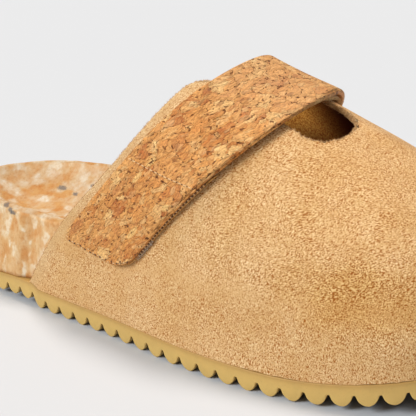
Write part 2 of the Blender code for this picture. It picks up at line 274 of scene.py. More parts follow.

# Flakes that stand out on the strap: millimetres across, from the ridge, half sizes and colour.
# The strap also turns paler over a stretch before the ridge: a painted sheen.
FLAKE_COLUMNS = ("across", "along", "half_across", "half_along", "tone")
FLAKE_ROWS = (
    (6.5, -78.7, 1.0, 3.2, "red"),
    (12.5, -86.6, 1.0, 3.6, "red"),
    (19.0, -79.9, 1.6, 3.4, "orange"),
    (23.0, -88.9, 1.1, 3.2, "pale"),
    (26.5, -73.0, 1.2, 1.4, "pale"),
    (2.6, -101.5, 1.8, 4.5, "red"),
    (9.5, -61.6, 1.0, 2.6, "pale"),
    (14.5, -52.5, 0.5, 2.4, "dark"),
    (15.4, -56.0, 0.8, 1.0, "dark"),
    (10.0, -30.7, 0.7, 1.8, "dark"),
    (9.5, -69.6, 0.9, 2.6, "pale"),
    (17.5, -66.2, 1.5, 2.6, "orange"),
    (22.0, -11.9, 0.7, 1.6, "dark"),
    (12.0, -41.2, 2.0, 3.6, "orange"),
    (3.0, -27.7, 0.6, 1.6, "dark"),
)
STRAP_PAINTED_SHEEN = (-45.0, -5.0)
FLAKE_TONES = {
    "red": (192, 122, 70),
    "orange": (216, 140, 74),
    "pale": (236, 192, 124),
    "dark": (140, 82, 38),
}

# Stitches: their pitch, and where the rows run, in millimetres.
STITCH_PITCH = 1.45
STITCH_INSET = 1.0
STITCH_STRAY = 0.22
FRONT_ROW_TOP = 39.5
SEAM_PITCH = 2.3
SEAM_START = -65.8
SEAM_SLANT = 0.14
FRONT_ROW_OUT = 0.15
FRONT_ROW_DOWN = 1.3
END_ROW_STEPS = 80
FRONT_ROW_STEPS = 120
SEAM_STEPS = 60
# Stitches and their holes, which are dark beads of painted shade: half length, half width, half height, and
# how deep they sit.
BEAD_SIZES = {
    "end_holes": (0.50, 0.36, 0.20, 0.04),
    "end_stitches": (0.55, 0.22, 0.22, 0.06),
    "front_holes": (0.36, 0.44, 0.40, 0.0),
    "front_stitches": (0.26, 0.40, 0.36, 0.0),
    "seam_stitches": (0.78, 0.22, 0.22, 0.05),
    "seam_holes": (0.30, 0.30, 0.12, 0.03),
}
BEAD_TURNS = 8
BEAD_LEVELS = (-60.0, -25.0, 25.0, 60.0)

# Loose fibres along the cut edge of the suede.
FIBRE_COUNT = 14000
FIBRE_LENGTH = (0.25, 0.9)
FIBRE_RADIUS = 0.10
FIBRE_LEAN = 0.55
FIBRE_ROOT = 0.15
FIBRE_MARGIN = 0.1

# Camera in the shoe's own millimetres and degrees, for a square picture.
CAMERA_PLACE = (367.5, -305.8, 163.3)
CAMERA_AZIMUTH = 37.199
CAMERA_ELEVATION = 17.913
CAMERA_ROLL = -1.77
CAMERA_LENS = 94.26
CAMERA_SENSOR = 36.0

# Light: a dome that is brightest overhead, a soft key from the heel side in front, and one overhead.
DOME_LOW = 0.06
DOME_HIGH = 0.55
DOME_COLOUR = (1.0, 1.0, 1.0, 1.0)
LAMP_COLUMNS = ("name", "strength", "angle", "from_x", "from_y", "from_z", "red", "green", "blue")
LAMP_ROWS = (
    ("key", 2.35, 28.0, -0.40, -0.74, 0.54, 0.92, 1.0, 1.09),
    ("overhead", 1.95, 20.0, -0.05, 0.28, 0.96, 1.07, 1.0, 0.93),
)
FLOOR_SIZE = 8.0

# Halvings in a search, and how far round the outline the searches along a side reach.
ROOT_STEPS = 34
SEARCH_FROM_X = 20.0
SEARCH_PAST_TOE = 12.0
SLOT_SEARCH_W = 0.2
COLLAR_SEARCH_W = 0.3
STRAP_SEARCH_W = (0.02, 0.9)
RISE_STEP = 0.02
SLOPE_STEP = 0.1
LAST_CELL = 1.001
UPRIGHT_LIMIT = 0.9
CHIP_STOPS = (0.28, 0.44, 0.54, 0.64, 0.78)


def table(rows, columns, name):
    """One named column of a table."""
    return np.array([row[columns.index(name)] for row in rows])


def smooth_curve(x, knots, values):
    """Monotone cubic through the rows of a table."""
    spans = np.diff(knots)
    slopes = np.diff(values) / spans
    tangents = np.zeros(len(knots))
    tangents[0] = slopes[0]
    tangents[-1] = slopes[-1]
    for i in range(1, len(knots) - 1):
        before, after = slopes[i - 1], slopes[i]
        if before * after > 0:
            wide = 2 * spans[i] + spans[i - 1]
            narrow = spans[i] + 2 * spans[i - 1]
            tangents[i] = (wide + narrow) / (wide / before + narrow / after)
    x = np.clip(x, knots[0], knots[-1])
    i = np.clip(np.searchsorted(knots, x, side="right") - 1, 0, len(spans) - 1)
    t = (x - knots[i]) / spans[i]
    start = (1 + 2 * t) * (1 - t) ** 2 * values[i] + t * (1 - t) ** 2 * spans[i] * tangents[i]
    end = t * t * (3 - 2 * t) * values[i + 1] + t * t * (t - 1) * spans[i] * tangents[i + 1]
    return start + end


def read_table(x, rows, columns, name):
    """A named column at any place along its first column."""
    return smooth_curve(x, table(rows, columns, columns[0]), table(rows, columns, name))


def ease(start, end, x):
    t = np.clip((x - start) / (end - start), 0.0, 1.0)
    return t * t * (3 - 2 * t)


def solve(measure, low, high):
    """Where a rising measure crosses zero, by halving."""
    for _ in range(ROOT_STEPS):
        middle = (low + high) / 2
        below = measure(middle) < 0
        low = np.where(below, middle, low)
        high = np.where(below, high, middle)
    return (low + high) / 2


def unit(vectors):
    return vectors / np.linalg.norm(vectors, axis=-1, keepdims=True)


def line_run(lines):
    """Millimetres along each line of points, from its first point."""
    steps = np.diff(lines, axis=-2, prepend=lines[..., :1, :])
    return np.cumsum(np.linalg.norm(steps, axis=-1), axis=-1)


def at_run(place, run, values):
    """Values of a line of points at places along it."""
    return np.stack([np.interp(place, run, values[:, k]) for k in range(values.shape[1])], -1)


def outline_points():
    """Heel back, lateral side, toe tip, medial side."""
    x = table(OUTLINE_ROWS, OUTLINE_COLUMNS, "x")
    lateral = np.stack([x, -table(OUTLINE_ROWS, OUTLINE_COLUMNS, "lateral")], 1)
    medial = np.stack([x, table(OUTLINE_ROWS, OUTLINE_COLUMNS, "medial")], 1)
    return np.vstack([HEEL_BACK, lateral, TOE_TIP, medial[::-1]])


def closed_spline(points, steps):
    """A smooth closed curve through points, as a fine polyline."""
    count = len(points)
    ahead = np.roll(points, -1, axis=0)
    spans = np.linalg.norm(ahead - points, axis=1)
    matrix = np.zeros((count, count))
    rates = (ahead - points) / spans[:, None]
    for i in range(count):
        matrix[i, i - 1] += spans[i - 1]
        matrix[i, i] += 2 * (spans[i - 1] + spans[i])
        matrix[i, (i + 1) % count] += spans[i]
    bends = np.linalg.solve(matrix, 6 * (rates - np.roll(rates, 1, axis=0)))
    knots = np.concatenate([[0.0], np.cumsum(spans)])
    place = np.linspace(0.0, knots[-1], steps + 1)
    i = np.clip(np.searchsorted(knots, place, side="right") - 1, 0, count - 1)
    span = spans[i][:, None]
    t = (place - knots[i])[:, None]
    left = bends[i]
    right = bends[(i + 1) % count]
    cubic = left * (span - t) ** 3 / (6 * span) + right * t ** 3 / (6 * span)
    linear = (points[i] / span - left * span / 6) * (span - t)
    return cubic + linear + (ahead[i] / span - right * span / 6) * t


EDGE = closed_spline(outline_points(), OUTLINE_STEPS)
EDGE_LENGTHS = line_run(EDGE)
PERIMETER = EDGE_LENGTHS[-1]
TOE_INDEX = int(np.argmax(EDGE[:, 0]))
TOE_S = EDGE_LENGTHS[TOE_INDEX]
CENTRE = (EDGE.min(axis=0) + EDGE.max(axis=0)) / 2
ORIGIN = np.array([CENTRE[0], CENTRE[1], 0.0])


def edge_at(s):
    return at_run(np.mod(s, PERIMETER), EDGE_LENGTHS, EDGE)


def outline(s, inset):
    """Point of the outline at arc length s from the heel, moved inwards."""
    reach = 0.5
    ahead = unit(edge_at(s + reach) - edge_at(s - reach))
    inward = np.stack([-ahead[..., 1], ahead[..., 0]], -1)
    return edge_at(s) + inward * np.expand_dims(inset, -1)


def side_s(x, side):
    """Arc length where the outline passes x on the lateral (-1) or medial (1) side."""
    if side < 0:
        return np.interp(x, EDGE[:TOE_INDEX, 0], EDGE_LENGTHS[:TOE_INDEX])
    return np.interp(-x, -EDGE[TOE_INDEX:, 0], EDGE_LENGTHS[TOE_INDEX:])


def floor_lift(x):
    """Height of the tread above the floor: toe spring, and the raised waist."""
    spring = TOE_SPRING * (np.clip(x - SPRING_START, 0, None) / (TOE_TIP[0] - SPRING_START)) ** 2
    waist = ease(WAIST_START, WAIST_FULL, x) - ease(WAIST_END - WAIST_STEP / 2, WAIST_END + WAIST_STEP / 2, x)
    return spring + WAIST_LIFT * np.clip(waist, 0, None)


def sole_top(x):
    return floor_lift(x) + LUG_DEPTH + BAND_HEIGHT


def bed_base(x):
    """Underside of the footbed: level past the waist, over the upper's turned-in margin."""
    spring = np.where(x > SPRING_START, floor_lift(x), 0.0)
    return LUG_DEPTH + BAND_HEIGHT + GAP + WAIST_LIFT * ease(WAIST_START, WAIST_FULL, x) + spring


def footbed(x, name):
    return read_table(x, FOOTBED_ROWS, FOOTBED_COLUMNS, name)


def upper_point(s, w):
    """Outer face of the upper: from the sole edge (w = 0) up to the ridge (w = 1).

    Each section is a cubic with an upright handle at the sole edge and a level one at the ridge.
    """
    foot = outline(s, np.full(np.shape(s), UPPER_INSET))
    x, y = foot[..., 0], foot[..., 1]
    low = np.maximum(sole_top(x), sole_top(x - WAIST_STEP / 2)) + GAP
    top_x = FAN_X - FAN_SOFTNESS * np.logaddexp(0.0, (FAN_X - x) / FAN_SOFTNESS)
    high = read_table(top_x, RIDGE_ROWS, RIDGE_COLUMNS, "z")
    step = 0.5
    fall = read_table(top_x - step, RIDGE_ROWS, RIDGE_COLUMNS, "z")
    fall = fall - read_table(top_x + step, RIDGE_ROWS, RIDGE_COLUMNS, "z")
    side = read_table(x, SECTION_ROWS, SECTION_COLUMNS, "side_fullness")
    top = read_table(x, SECTION_ROWS, SECTION_COLUMNS, "top_fullness")
    run_x, run_y = x - top_x, y - RIDGE_Y
    drop = fall * run_x * top / (high - low)
    inward = 3 * (1 - w) * w * w * (1 - top) + w ** 3
    upward = 3 * (1 - w) ** 2 * w * side + 3 * (1 - w) * w * w * (1 - drop) + w ** 3
    return np.stack([x - run_x * inward, y - run_y * inward, low + (high - low) * upward], -1)


def upper_normal(s, w):
    """Outward unit normal of the upper's outer face."""
    along = upper_point(s + 1.0, w) - upper_point(s - 1.0, w)
    above, below = np.minimum(w + RISE_STEP, 1.0), np.maximum(w - RISE_STEP, 0.0)
    return unit(np.cross(along, upper_point(s, above) - upper_point(s, below)))


def slot_w(s):
    """Where the section at s reaches the edge of the throat slot."""
    def inside(w):
        p = upper_point(s, w)
        ahead = np.clip(p[..., 0] - SLOT_END_X, 0, None)
        return SLOT_RADIUS - np.hypot(ahead, p[..., 1] - SLOT_Y)
    return solve(inside, np.full(np.shape(s), SLOT_SEARCH_W), np.ones(np.shape(s)))


def crossing_s(w, side, edge_x):
    """Arc length where the upper at w crosses an edge drawn in the side view."""
    def ahead(s):
        p = upper_point(s, w)
        return p[..., 0] - edge_x(p[..., 2])
    behind = np.full(np.shape(w), side_s(SEARCH_FROM_X, side))
    front = np.full(np.shape(w), TOE_S + side * SEARCH_PAST_TOE)
    return solve(ahead, behind, front)


def collar_x(z):
    return read_table(z, COLLAR_ROWS, COLLAR_COLUMNS, "x")


def collar_corner(side):
    """Height parameter where the collar edge meets the slot."""
    def above(w):
        return w - slot_w(crossing_s(w, side, collar_x))
    return float(solve(above, np.array([COLLAR_SEARCH_W]), np.array([1.0]))[0])


def corner_turn(v, start, reach):
    """How far the collar edge bends away from its line as it turns into the slot."""
    turn = np.clip((v - start) / (1 - start), 0.0, 1.0)
    return reach * (1 - np.sqrt(1 - turn ** 2))


def upper_places():
    """Places (s, w) of the upper's grid: sole edge to slot, lateral collar to medial collar."""
    v = np.linspace(0.0, 1.0, UPPER_ROWS + 1)
    starts = crossing_s(v * collar_corner(-1), -1, collar_x) + corner_turn(v, CORNER_START, CORNER_REACH)
    ends = crossing_s(v * collar_corner(1), 1, collar_x)
    ends = ends - corner_turn(v, MEDIAL_CORNER_START, MEDIAL_CORNER_REACH)
    u = np.linspace(0.0, 1.0, UPPER_STEPS + 1)
    top_w = slot_w(starts[-1] + (ends[-1] - starts[-1]) * u)
    s = starts[:, None] + (ends - starts)[:, None] * u
    return s, v[:, None] * top_w


def fold_depth(points):
    """How far the listed folds push the suede in at each point."""
    depth = np.zeros(points.shape[:-1])
    for row in FOLD_ROWS:
        fold = dict(zip(FOLD_COLUMNS, row))
        away = points - np.array([fold["x"], fold["y"], fold["z"]])
        heading = unit(np.array([fold["along_x"], fold["along_y"], fold["along_z"]]))
        along = away @ heading
        across = np.linalg.norm(away - along[..., None] * heading, axis=-1)
        depth += fold["depth"] * np.exp(-((along / fold["length"]) ** 2) - (across / fold["width"]) ** 2)
    return depth


def pucker_depth(s, w, x):
    """Small gathers where the suede is pulled under round the toe."""
    sway, sway_length = PUCKER_SWAY
    wave = 0.5 + 0.5 * np.sin(2 * np.pi * s / PUCKER_PITCH + sway * np.sin(s / sway_length))
    return PUCKER_DEPTH * wave * np.exp(-((w / PUCKER_REACH) ** 2)) * ease(PUCKER_START, PUCKER_FULL, x)


def strap_edge_x(share):
    """Side-view line of the strap at a share of its width, rear to front."""
    low = STRAP_REAR[0] + (STRAP_FRONT[0] - STRAP_REAR[0]) * share
    high = STRAP_REAR[1] + (STRAP_FRONT[1] - STRAP_REAR[1]) * share
    return lambda z: low + (high - low) * (z - STRAP_LOW) / (STRAP_HIGH - STRAP_LOW)


def strap_end_z(share):
    """Height of the free end: cut level with the sole, with rounded corners."""
    share = np.clip(share, 0.0, 1.0)
    radius = np.where(share < 0.5, STRAP_CORNER_REAR, STRAP_CORNER_FRONT)
    from_edge = STRAP_WIDTH * np.minimum(share, 1 - share)
    short = np.clip(radius - from_edge, 0.0, None)
    corner = radius - np.sqrt(radius ** 2 - short ** 2)
    return STRAP_END_REAR + (STRAP_END_FRONT - STRAP_END_REAR) * share + corner * STRAP_CORNER_DEPTH


def strap_half(share, side, end_z):
    """Lengthwise lines on the upper's face, from an end of the strap up to the ridge."""
    def above(w):
        return upper_point(crossing_s(w, side, strap_edge_x(share)), w)[..., 2] - end_z
    end_w = solve(above, *(np.full(share.shape, w) for w in STRAP_SEARCH_W))
    w = end_w[:, None] + (1 - end_w[:, None]) * np.linspace(0.0, 1.0, STRAP_ALONG + 1)
    return upper_point(crossing_s(w, side, strap_edge_x(share[:, None])), w)


def even_lines(lines, start, stop, count):
    """Lines of points spaced evenly from start to stop, in millimetres along each line."""
    even = []
    for line, run in zip(lines, line_run(lines)):
        even.append(at_run(np.linspace(start, min(stop, run[-1]), count + 1), run, line))
    return np.array(even)


def grid_normals(grid):
    """Outward unit normals of a grid of strap points, rear to front and lateral to medial."""
    return unit(np.cross(np.gradient(grid, axis=0), np.gradient(grid, axis=1)))


def strap_sheet(rear, front, past_end, start, stop, count):
    """Points on the upper's face under a strip of the strap, and their outward normals."""
    shape = np.linspace(0.0, 1.0, STRAP_ACROSS + 1)
    share = rear + (front - rear) * shape
    lateral = strap_half(share, -1, strap_end_z(shape) - past_end)
    medial = strap_half(share, 1, STRAP_MEDIAL_END)
    lines = np.concatenate([lateral, medial[:, -2::-1]], axis=1)
    grid = even_lines(lines, start, stop, count)
    return grid, grid_normals(grid)


def boundary_loop(rows, columns):
    """Indices round the edge of a grid, in order."""
    bottom = list(range(columns))
    right = [r * columns + columns - 1 for r in range(1, rows)]
    top = [(rows - 1) * columns + c for c in range(columns - 2, -1, -1)]
    left = [r * columns for r in range(rows - 2, 0, -1)]
    return np.array(bottom + right + top + left)


def grid_faces(rows, columns):
    faces = []
    for r in range(rows - 1):
        for c in range(columns - 1):
            corner = r * columns + c
            faces.append([corner, corner + 1, corner + columns + 1, corner + columns])
    return faces


def ring_faces(ring_count, count):
    """Quads between neighbouring closed rings."""
    faces = []
    for ring in range(ring_count - 1):
        for i in range(count):
            ahead = (i + 1) % count
            low, high = ring * count, (ring + 1) * count
            faces.append([low + i, low + ahead, high + ahead, high + i])
    return faces


def outward_edge(grid, normals):
    """At each point of a grid's edge, the direction in the sheet that leads away from it."""
    rows, columns, _ = grid.shape
    loop = boundary_loop(rows, columns)
    rim = grid.reshape(-1, 3)[loop]
    tangent = np.roll(rim, -1, axis=0) - np.roll(rim, 1, axis=0)
    away = unit(np.cross(tangent, normals.reshape(-1, 3)[loop]))
    side = len(loop) // 8
    inside = grid[1, side] - grid[0, side]
    return away if away[side] @ inside < 0 else -away


def rounded_shell(grid, normals, thickness, radius, steps=4):
    """A closed sheet with rounded edges: points, faces, and each face's kind.

    The grid is the outer face. Thickness is one value or one per grid point, and radius one value
    or one per edge point. Kind 0 is the outer face, 1 the cut edge and 2 the inner face.
    """
    rows, columns, _ = grid.shape
    count = rows * columns
    loop = boundary_loop(rows, columns)
    away = outward_edge(grid, normals)
    thickness = np.broadcast_to(thickness, (rows, columns)).reshape(-1, 1)
    radius = np.broadcast_to(radius, len(loop))[:, None]
    outer = grid.reshape(-1, 3).copy()
    up = normals.reshape(-1, 3)
    rim = outer[loop]
    rim_up = up[loop]
    outer[loop] = rim - away * radius
    inner = outer - up * thickness
    rings = []
    for k in range(1, steps + 1):
        angle = math.pi / 2 * (1 - k / steps)
        rings.append(rim + away * radius * (math.cos(angle) - 1) + rim_up * radius * (math.sin(angle) - 1))
    for k in range(steps):
        angle = -math.pi / 2 * k / steps
        rise = radius * (math.sin(angle) + 1) - thickness[loop]
        rings.append(rim + away * radius * (math.cos(angle) - 1) + rim_up * rise)
    points = np.vstack([outer, *rings, inner])
    face_loop = [loop]
    for k in range(len(rings)):
        face_loop.append(count + k * len(loop) + np.arange(len(loop)))
    face_loop.append(loop + count + len(rings) * len(loop))
    faces = grid_faces(rows, columns)
    kinds = [0] * len(faces)
    for low, high in zip(face_loop[:-1], face_loop[1:]):
        for i in range(len(loop)):
            ahead = (i + 1) % len(loop)
            faces.append([int(low[i]), int(high[i]), int(high[ahead]), int(low[ahead])])
            kinds.append(1)
    first_inner = count + len(rings) * len(loop)
    for face in grid_faces(rows, columns):
        faces.append([first_inner + corner for corner in reversed(face)])
        kinds.append(2)
    return points, faces, kinds, (loop, len(rings))


def shell_values(values, loop, ring_count, step=0.0):
    """A value per grid point, carried to every point of its rounded shell.

    Each ring of the edge adds one more step to the value, and the inner face the last one.
    """
    flat = values.reshape(-1, *values.shape[2:])
    edge = [flat[loop] + np.multiply(step, k) for k in range(1, ring_count + 1)]
    return np.concatenate([flat, *edge, flat + np.multiply(step, ring_count + 1)])


def zip_cap(first, x):
    """Triangles that close a ring across the shoe, kept square to its length."""
    count = len(x)
    heel, toe = int(np.argmin(x)), int(np.argmax(x))
    lateral = [(heel + k) % count for k in range((toe - heel) % count + 1)]
    medial = [(heel - k) % count for k in range((heel - toe) % count + 1)]
    faces = []
    i = j = 0
    while i + j < len(lateral) + len(medial) - 2:
        lateral_next = lateral[min(i + 1, len(lateral) - 1)]
        medial_next = medial[min(j + 1, len(medial) - 1)]
        done = j == len(medial) - 1
        if done or (i < len(lateral) - 1 and x[lateral_next] <= x[medial_next]):
            corners = [lateral[i], lateral_next, medial[j]]
            i += 1
        else:
            corners = [lateral[i], medial_next, medial[j]]
            j += 1
        if len(set(corners)) == 3:
            faces.append([first + corner for corner in corners])
    return faces


def closed_rings(rings):
    """Faces of a stack of rings, closed across its first and last ring."""
    count = len(rings[0])
    last = (len(rings) - 1) * count
    faces = ring_faces(len(rings), count)
    return faces + zip_cap(0, rings[0][:, 0]) + zip_cap(last, rings[-1][:, 0])


def add_piece(name, points, faces, materials, kinds=None, values=None, sharp=None):
    """A named piece in metres, in the part's own frame, riding on the shoe."""
    mesh = bpy.data.meshes.new(name)
    mesh.from_pydata(((np.asarray(points) - ORIGIN) * MM).tolist(), [], faces)
    for material in materials:
        mesh.materials.append(material)
    if kinds is not None:
        mesh.polygons.foreach_set("material_index", np.minimum(kinds, len(materials) - 1))
    tidy = bmesh.new()
    tidy.from_mesh(mesh)
    bmesh.ops.recalc_face_normals(tidy, faces=tidy.faces)
    tidy.to_mesh(mesh)
    tidy.free()
    for key, value in (values or {}).items():
        if value.ndim == 1:
            layer = mesh.attributes.new(key, "FLOAT", "POINT")
            layer.data.foreach_set("value", value.astype(np.float32))
        else:
            layer = mesh.attributes.new(key, "FLOAT_VECTOR", "POINT")
            layer.data.foreach_set("vector", value.astype(np.float32).ravel())
    mesh.shade_smooth()
    if sharp is not None:
        mesh.set_sharp_from_angle(angle=math.radians(sharp))
    piece = bpy.data.objects.new(name, mesh)
    bpy.context.scene.collection.objects.link(piece)
    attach(piece, "root")
    return piece


def srgb(red, green, blue):
    """A colour given as it looks on a screen, 0 to 255, as linear light."""
    parts = []
    for part in (red, green, blue):
        part = part / 255
        parts.append(part / 12.92 if part <= 0.04045 else ((part + 0.055) / 1.055) ** 2.4)
    return (*parts, 1.0)


class Look:
    """A material's node tree, with a short method for each kind of node that it uses."""

    def __init__(self, name, roughness, specular=0.5):
        self.material = bpy.data.materials.new(name)
        self.material.use_nodes = True
        self.tree = self.material.node_tree
        self.shader = self.tree.nodes["Principled BSDF"]
        self.shader.inputs["Roughness"].default_value = roughness
        self.shader.inputs["Specular IOR Level"].default_value = specular

    def plug(self, socket, value):
        if isinstance(value, bpy.types.NodeSocket):
            self.tree.links.new(value, socket)
        else:
            socket.default_value = value

    def add(self, kind, inputs, **settings):
        node = self.tree.nodes.new(kind)
        for key, value in settings.items():
            setattr(node, key, value)
        for key, value in inputs.items():
            self.plug(node.inputs[key], value)
        return node

    def vector(self, operation, first, second):
        return self.add("ShaderNodeVectorMath", {0: first, 1: second}, operation=operation).outputs[0]

    def sum(self, operation, first, second):
        return self.add("ShaderNodeMath", {0: first, 1: second}, operation=operation).outputs[0]

    def times(self, first, second):
        return self.sum("MULTIPLY", first, second)

    def plus(self, first, second):
        return self.sum("ADD", first, second)

    def minus(self, first, second):
        return self.sum("SUBTRACT", first, second)

    def scaled(self, place, sizes):
        """Places measured in sizes along the three axes."""
        return self.vector("MULTIPLY", place, tuple(1 / size for size in sizes))

    def dot(self, first, second):
        inputs = {0: first, 1: second}
        return self.add("ShaderNodeVectorMath", inputs, operation="DOT_PRODUCT").outputs["Value"]

    def place(self):
        """Place on the shoe in millimetres."""
        found = self.add("ShaderNodeTexCoord", {}).outputs["Object"]
        return self.vector("MULTIPLY", found, (1 / MM,) * 3)

    def stored(self, name, output):
        return self.add("ShaderNodeAttribute", {}, attribute_name=name).outputs[output]

    def noise(self, place, size, detail=2.0, roughness=0.5, output=0):
        """Cloudy noise whose features are about size millimetres across."""
        inputs = {"Vector": place, "Scale": 1 / size, "Detail": detail, "Roughness": roughness}
        return self.add("ShaderNodeTexNoise", inputs).outputs[output]

    def warp(self, place, size, reach):
        """Places pushed about by up to reach millimetres."""
        push = self.vector("SUBTRACT", self.noise(place, size, output=1), (0.5, 0.5, 0.5))
        return self.vector("ADD", place, self.vector("MULTIPLY", push, (reach * 2,) * 3))

    def cells(self, place, feature, output, softness=None):
        inputs = {"Vector": place, "Scale": 1.0}
        node = self.add("ShaderNodeTexVoronoi", inputs, feature=feature)
        if softness is not None:
            node.inputs["Smoothness"].default_value = softness
        return node.outputs[output]

    def spot(self, place, middle, sizes, ragged, soft=0.15):
        """1 inside a ragged oval, 0 outside it."""
        away = self.vector("DIVIDE", self.vector("SUBTRACT", place, middle), sizes)
        length = self.add("ShaderNodeVectorMath", {0: away}, operation="LENGTH").outputs["Value"]
        return self.step(self.plus(length, ragged), 1 + soft, 1 - soft)

    def combed(self, place, heading, stretch):
        """Places squashed along a heading, so that what is drawn on them comes out long that way."""
        inputs = {0: heading, "Scale": self.times(self.dot(place, heading), 1 - 1 / stretch)}
        push = self.add("ShaderNodeVectorMath", inputs, operation="SCALE").outputs[0]
        return self.vector("SUBTRACT", place, push)

    def ramp(self, value, stops):
        """Colours by value: stops are pairs of position and colour."""
        node = self.add("ShaderNodeValToRGB", {"Fac": value})
        elements = node.color_ramp.elements
        while len(elements) < len(stops):
            elements.new(1.0)
        for element, (position, colour) in zip(elements, stops):
            element.position = position
            element.color = colour
        return node.outputs["Color"]

    def step(self, value, start, end):
        """A value that goes smoothly from 0 at start to 1 at end."""
        inputs = {"Value": value, "From Min": start, "From Max": end}
        return self.add("ShaderNodeMapRange", inputs, interpolation_type="SMOOTHSTEP").outputs[0]

    def mix(self, factor, first, second, blend="MIX"):
        inputs = {0: factor, 6: first, 7: second}
        return self.add("ShaderNodeMix", inputs, data_type="RGBA", blend_type=blend).outputs[2]

    def tint(self, colour, mask, amount, tone):
        """A colour mixed towards a tone where the mask is 1."""
        return self.mix(self.times(mask, amount), colour, tone)

    def shade(self, colour, amount, value, stops):
        """A colour multiplied by a ramp of a value."""
        return self.mix(amount, colour, self.ramp(value, stops), "MULTIPLY")

    def channel(self, colour, index):
        return self.add("ShaderNodeSeparateXYZ", {0: colour}).outputs[index]

    def bump(self, height, depth, strength, below=None):
        inputs = {"Height": height, "Distance": depth * MM, "Strength": strength}
        if below is not None:
            inputs["Normal"] = below
        return self.add("ShaderNodeBump", inputs).outputs[0]

    def finish(self, colour, normal):
        self.plug(self.shader.inputs["Base Color"], colour)
        self.plug(self.shader.inputs["Normal"], normal)
        return self.material


def grey(level):
    return (level, level, level, 1.0)


def suede_look(name, dark, middle, light, rubbed):
    """Short napped suede: small flecks of fibre, cloudy patches, and a paler rubbed collar edge."""
    look = Look(name, 0.95, 0.12)
    place = look.place()
    bent = look.warp(look.warp(place, size=16.0, reach=3.0), size=1.2, reach=0.25)
    low = look.step(look.channel(place, 2), *NAP_UPRIGHT_Z)
    swept = look.noise(look.combed(bent, NAP_SWEPT, 2.2), size=NAP_WIDTH, detail=1.0)
    upright = look.noise(look.combed(bent, NAP_UPRIGHT, 1.6), size=NAP_WIDTH, detail=1.0)
    fleck = look.add("ShaderNodeMix", {0: low, 2: swept, 3: upright}).outputs[0]
    patch = look.noise(place, size=15.0, roughness=0.55)
    crush = look.step(look.noise(place, size=9.0), 0.30, 0.70)
    ragged = look.minus(look.noise(place, size=6.0), 0.5)
    brushed = look.spot(place, tuple(np.array(BRUSHED_MIDDLE) - ORIGIN), BRUSHED_SIZES, ragged, 0.5)
    fore = look.step(look.channel(place, 0), *(np.array(NAP_FORE_X) - ORIGIN[0]))
    depth = 1.5
    for mask, amount in ((crush, 0.6), (fore, 0.2), (brushed, 0.9)):
        depth = look.plus(look.times(mask, amount), depth)
    level = look.plus(look.times(look.minus(fleck, 0.5), depth), 0.5)
    nap = look.ramp(level, ((0.20, dark), (0.445, middle), (0.57, middle), (0.93, light)))
    edge = look.step(look.stored("edge_mm", "Fac"), 8.0, 2.0)
    nap = look.tint(nap, edge, 0.3, rubbed)
    colour = look.shade(nap, 1.0, patch, ((0.35, srgb(246, 240, 228)), (0.65, grey(1.0))))
    colour = look.mix(brushed, colour, srgb(246, 238, 218), "MULTIPLY")
    fine = look.noise(place, size=0.32, roughness=0.6)
    normal = look.bump(fleck, depth=0.26, strength=0.5)
    normal = look.bump(fine, depth=0.14, strength=0.5, below=normal)
    look.shader.inputs["Sheen Weight"].default_value = 0.20
    look.shader.inputs["Sheen Roughness"].default_value = 0.45
    look.shader.inputs["Sheen Tint"].default_value = srgb(250, 226, 190)
    return look.finish(colour, normal)


def lining_look():
    """Brushed inner face of the suede, with painted shade that darkens it towards the closed toe and low down
    towards the footbed.
    """
    look = Look("upper_lining_painted_shade", 0.95, 0.1)
    place = look.place()
    combed = look.combed(look.warp(place, size=1.0, reach=0.4), NAP_UPRIGHT, 2.2)
    tuft = look.noise(combed, size=0.5, roughness=0.6)
    colour = look.ramp(tuft, ((0.35, srgb(172, 90, 24)), (0.62, srgb(255, 190, 88))))
    along = look.channel(place, 0)
    # Painted shade: dark towards the closed toe, and low down once past the open collar.
    deep = look.step(along, LINING_LIT_X - ORIGIN[0], LINING_DARK_X - ORIGIN[0])
    under = look.step(look.channel(place, 2), LINING_LIT_Z, LINING_DARK_Z)
    inside = look.step(along, LINING_OPEN_X - ORIGIN[0], LINING_LIT_X - ORIGIN[0])
    under = look.times(under, inside)
    colour = look.mix(look.sum("MAXIMUM", deep, under), colour, srgb(62, 17, 4))
    return look.finish(colour, look.bump(tuft, depth=0.25, strength=0.6))


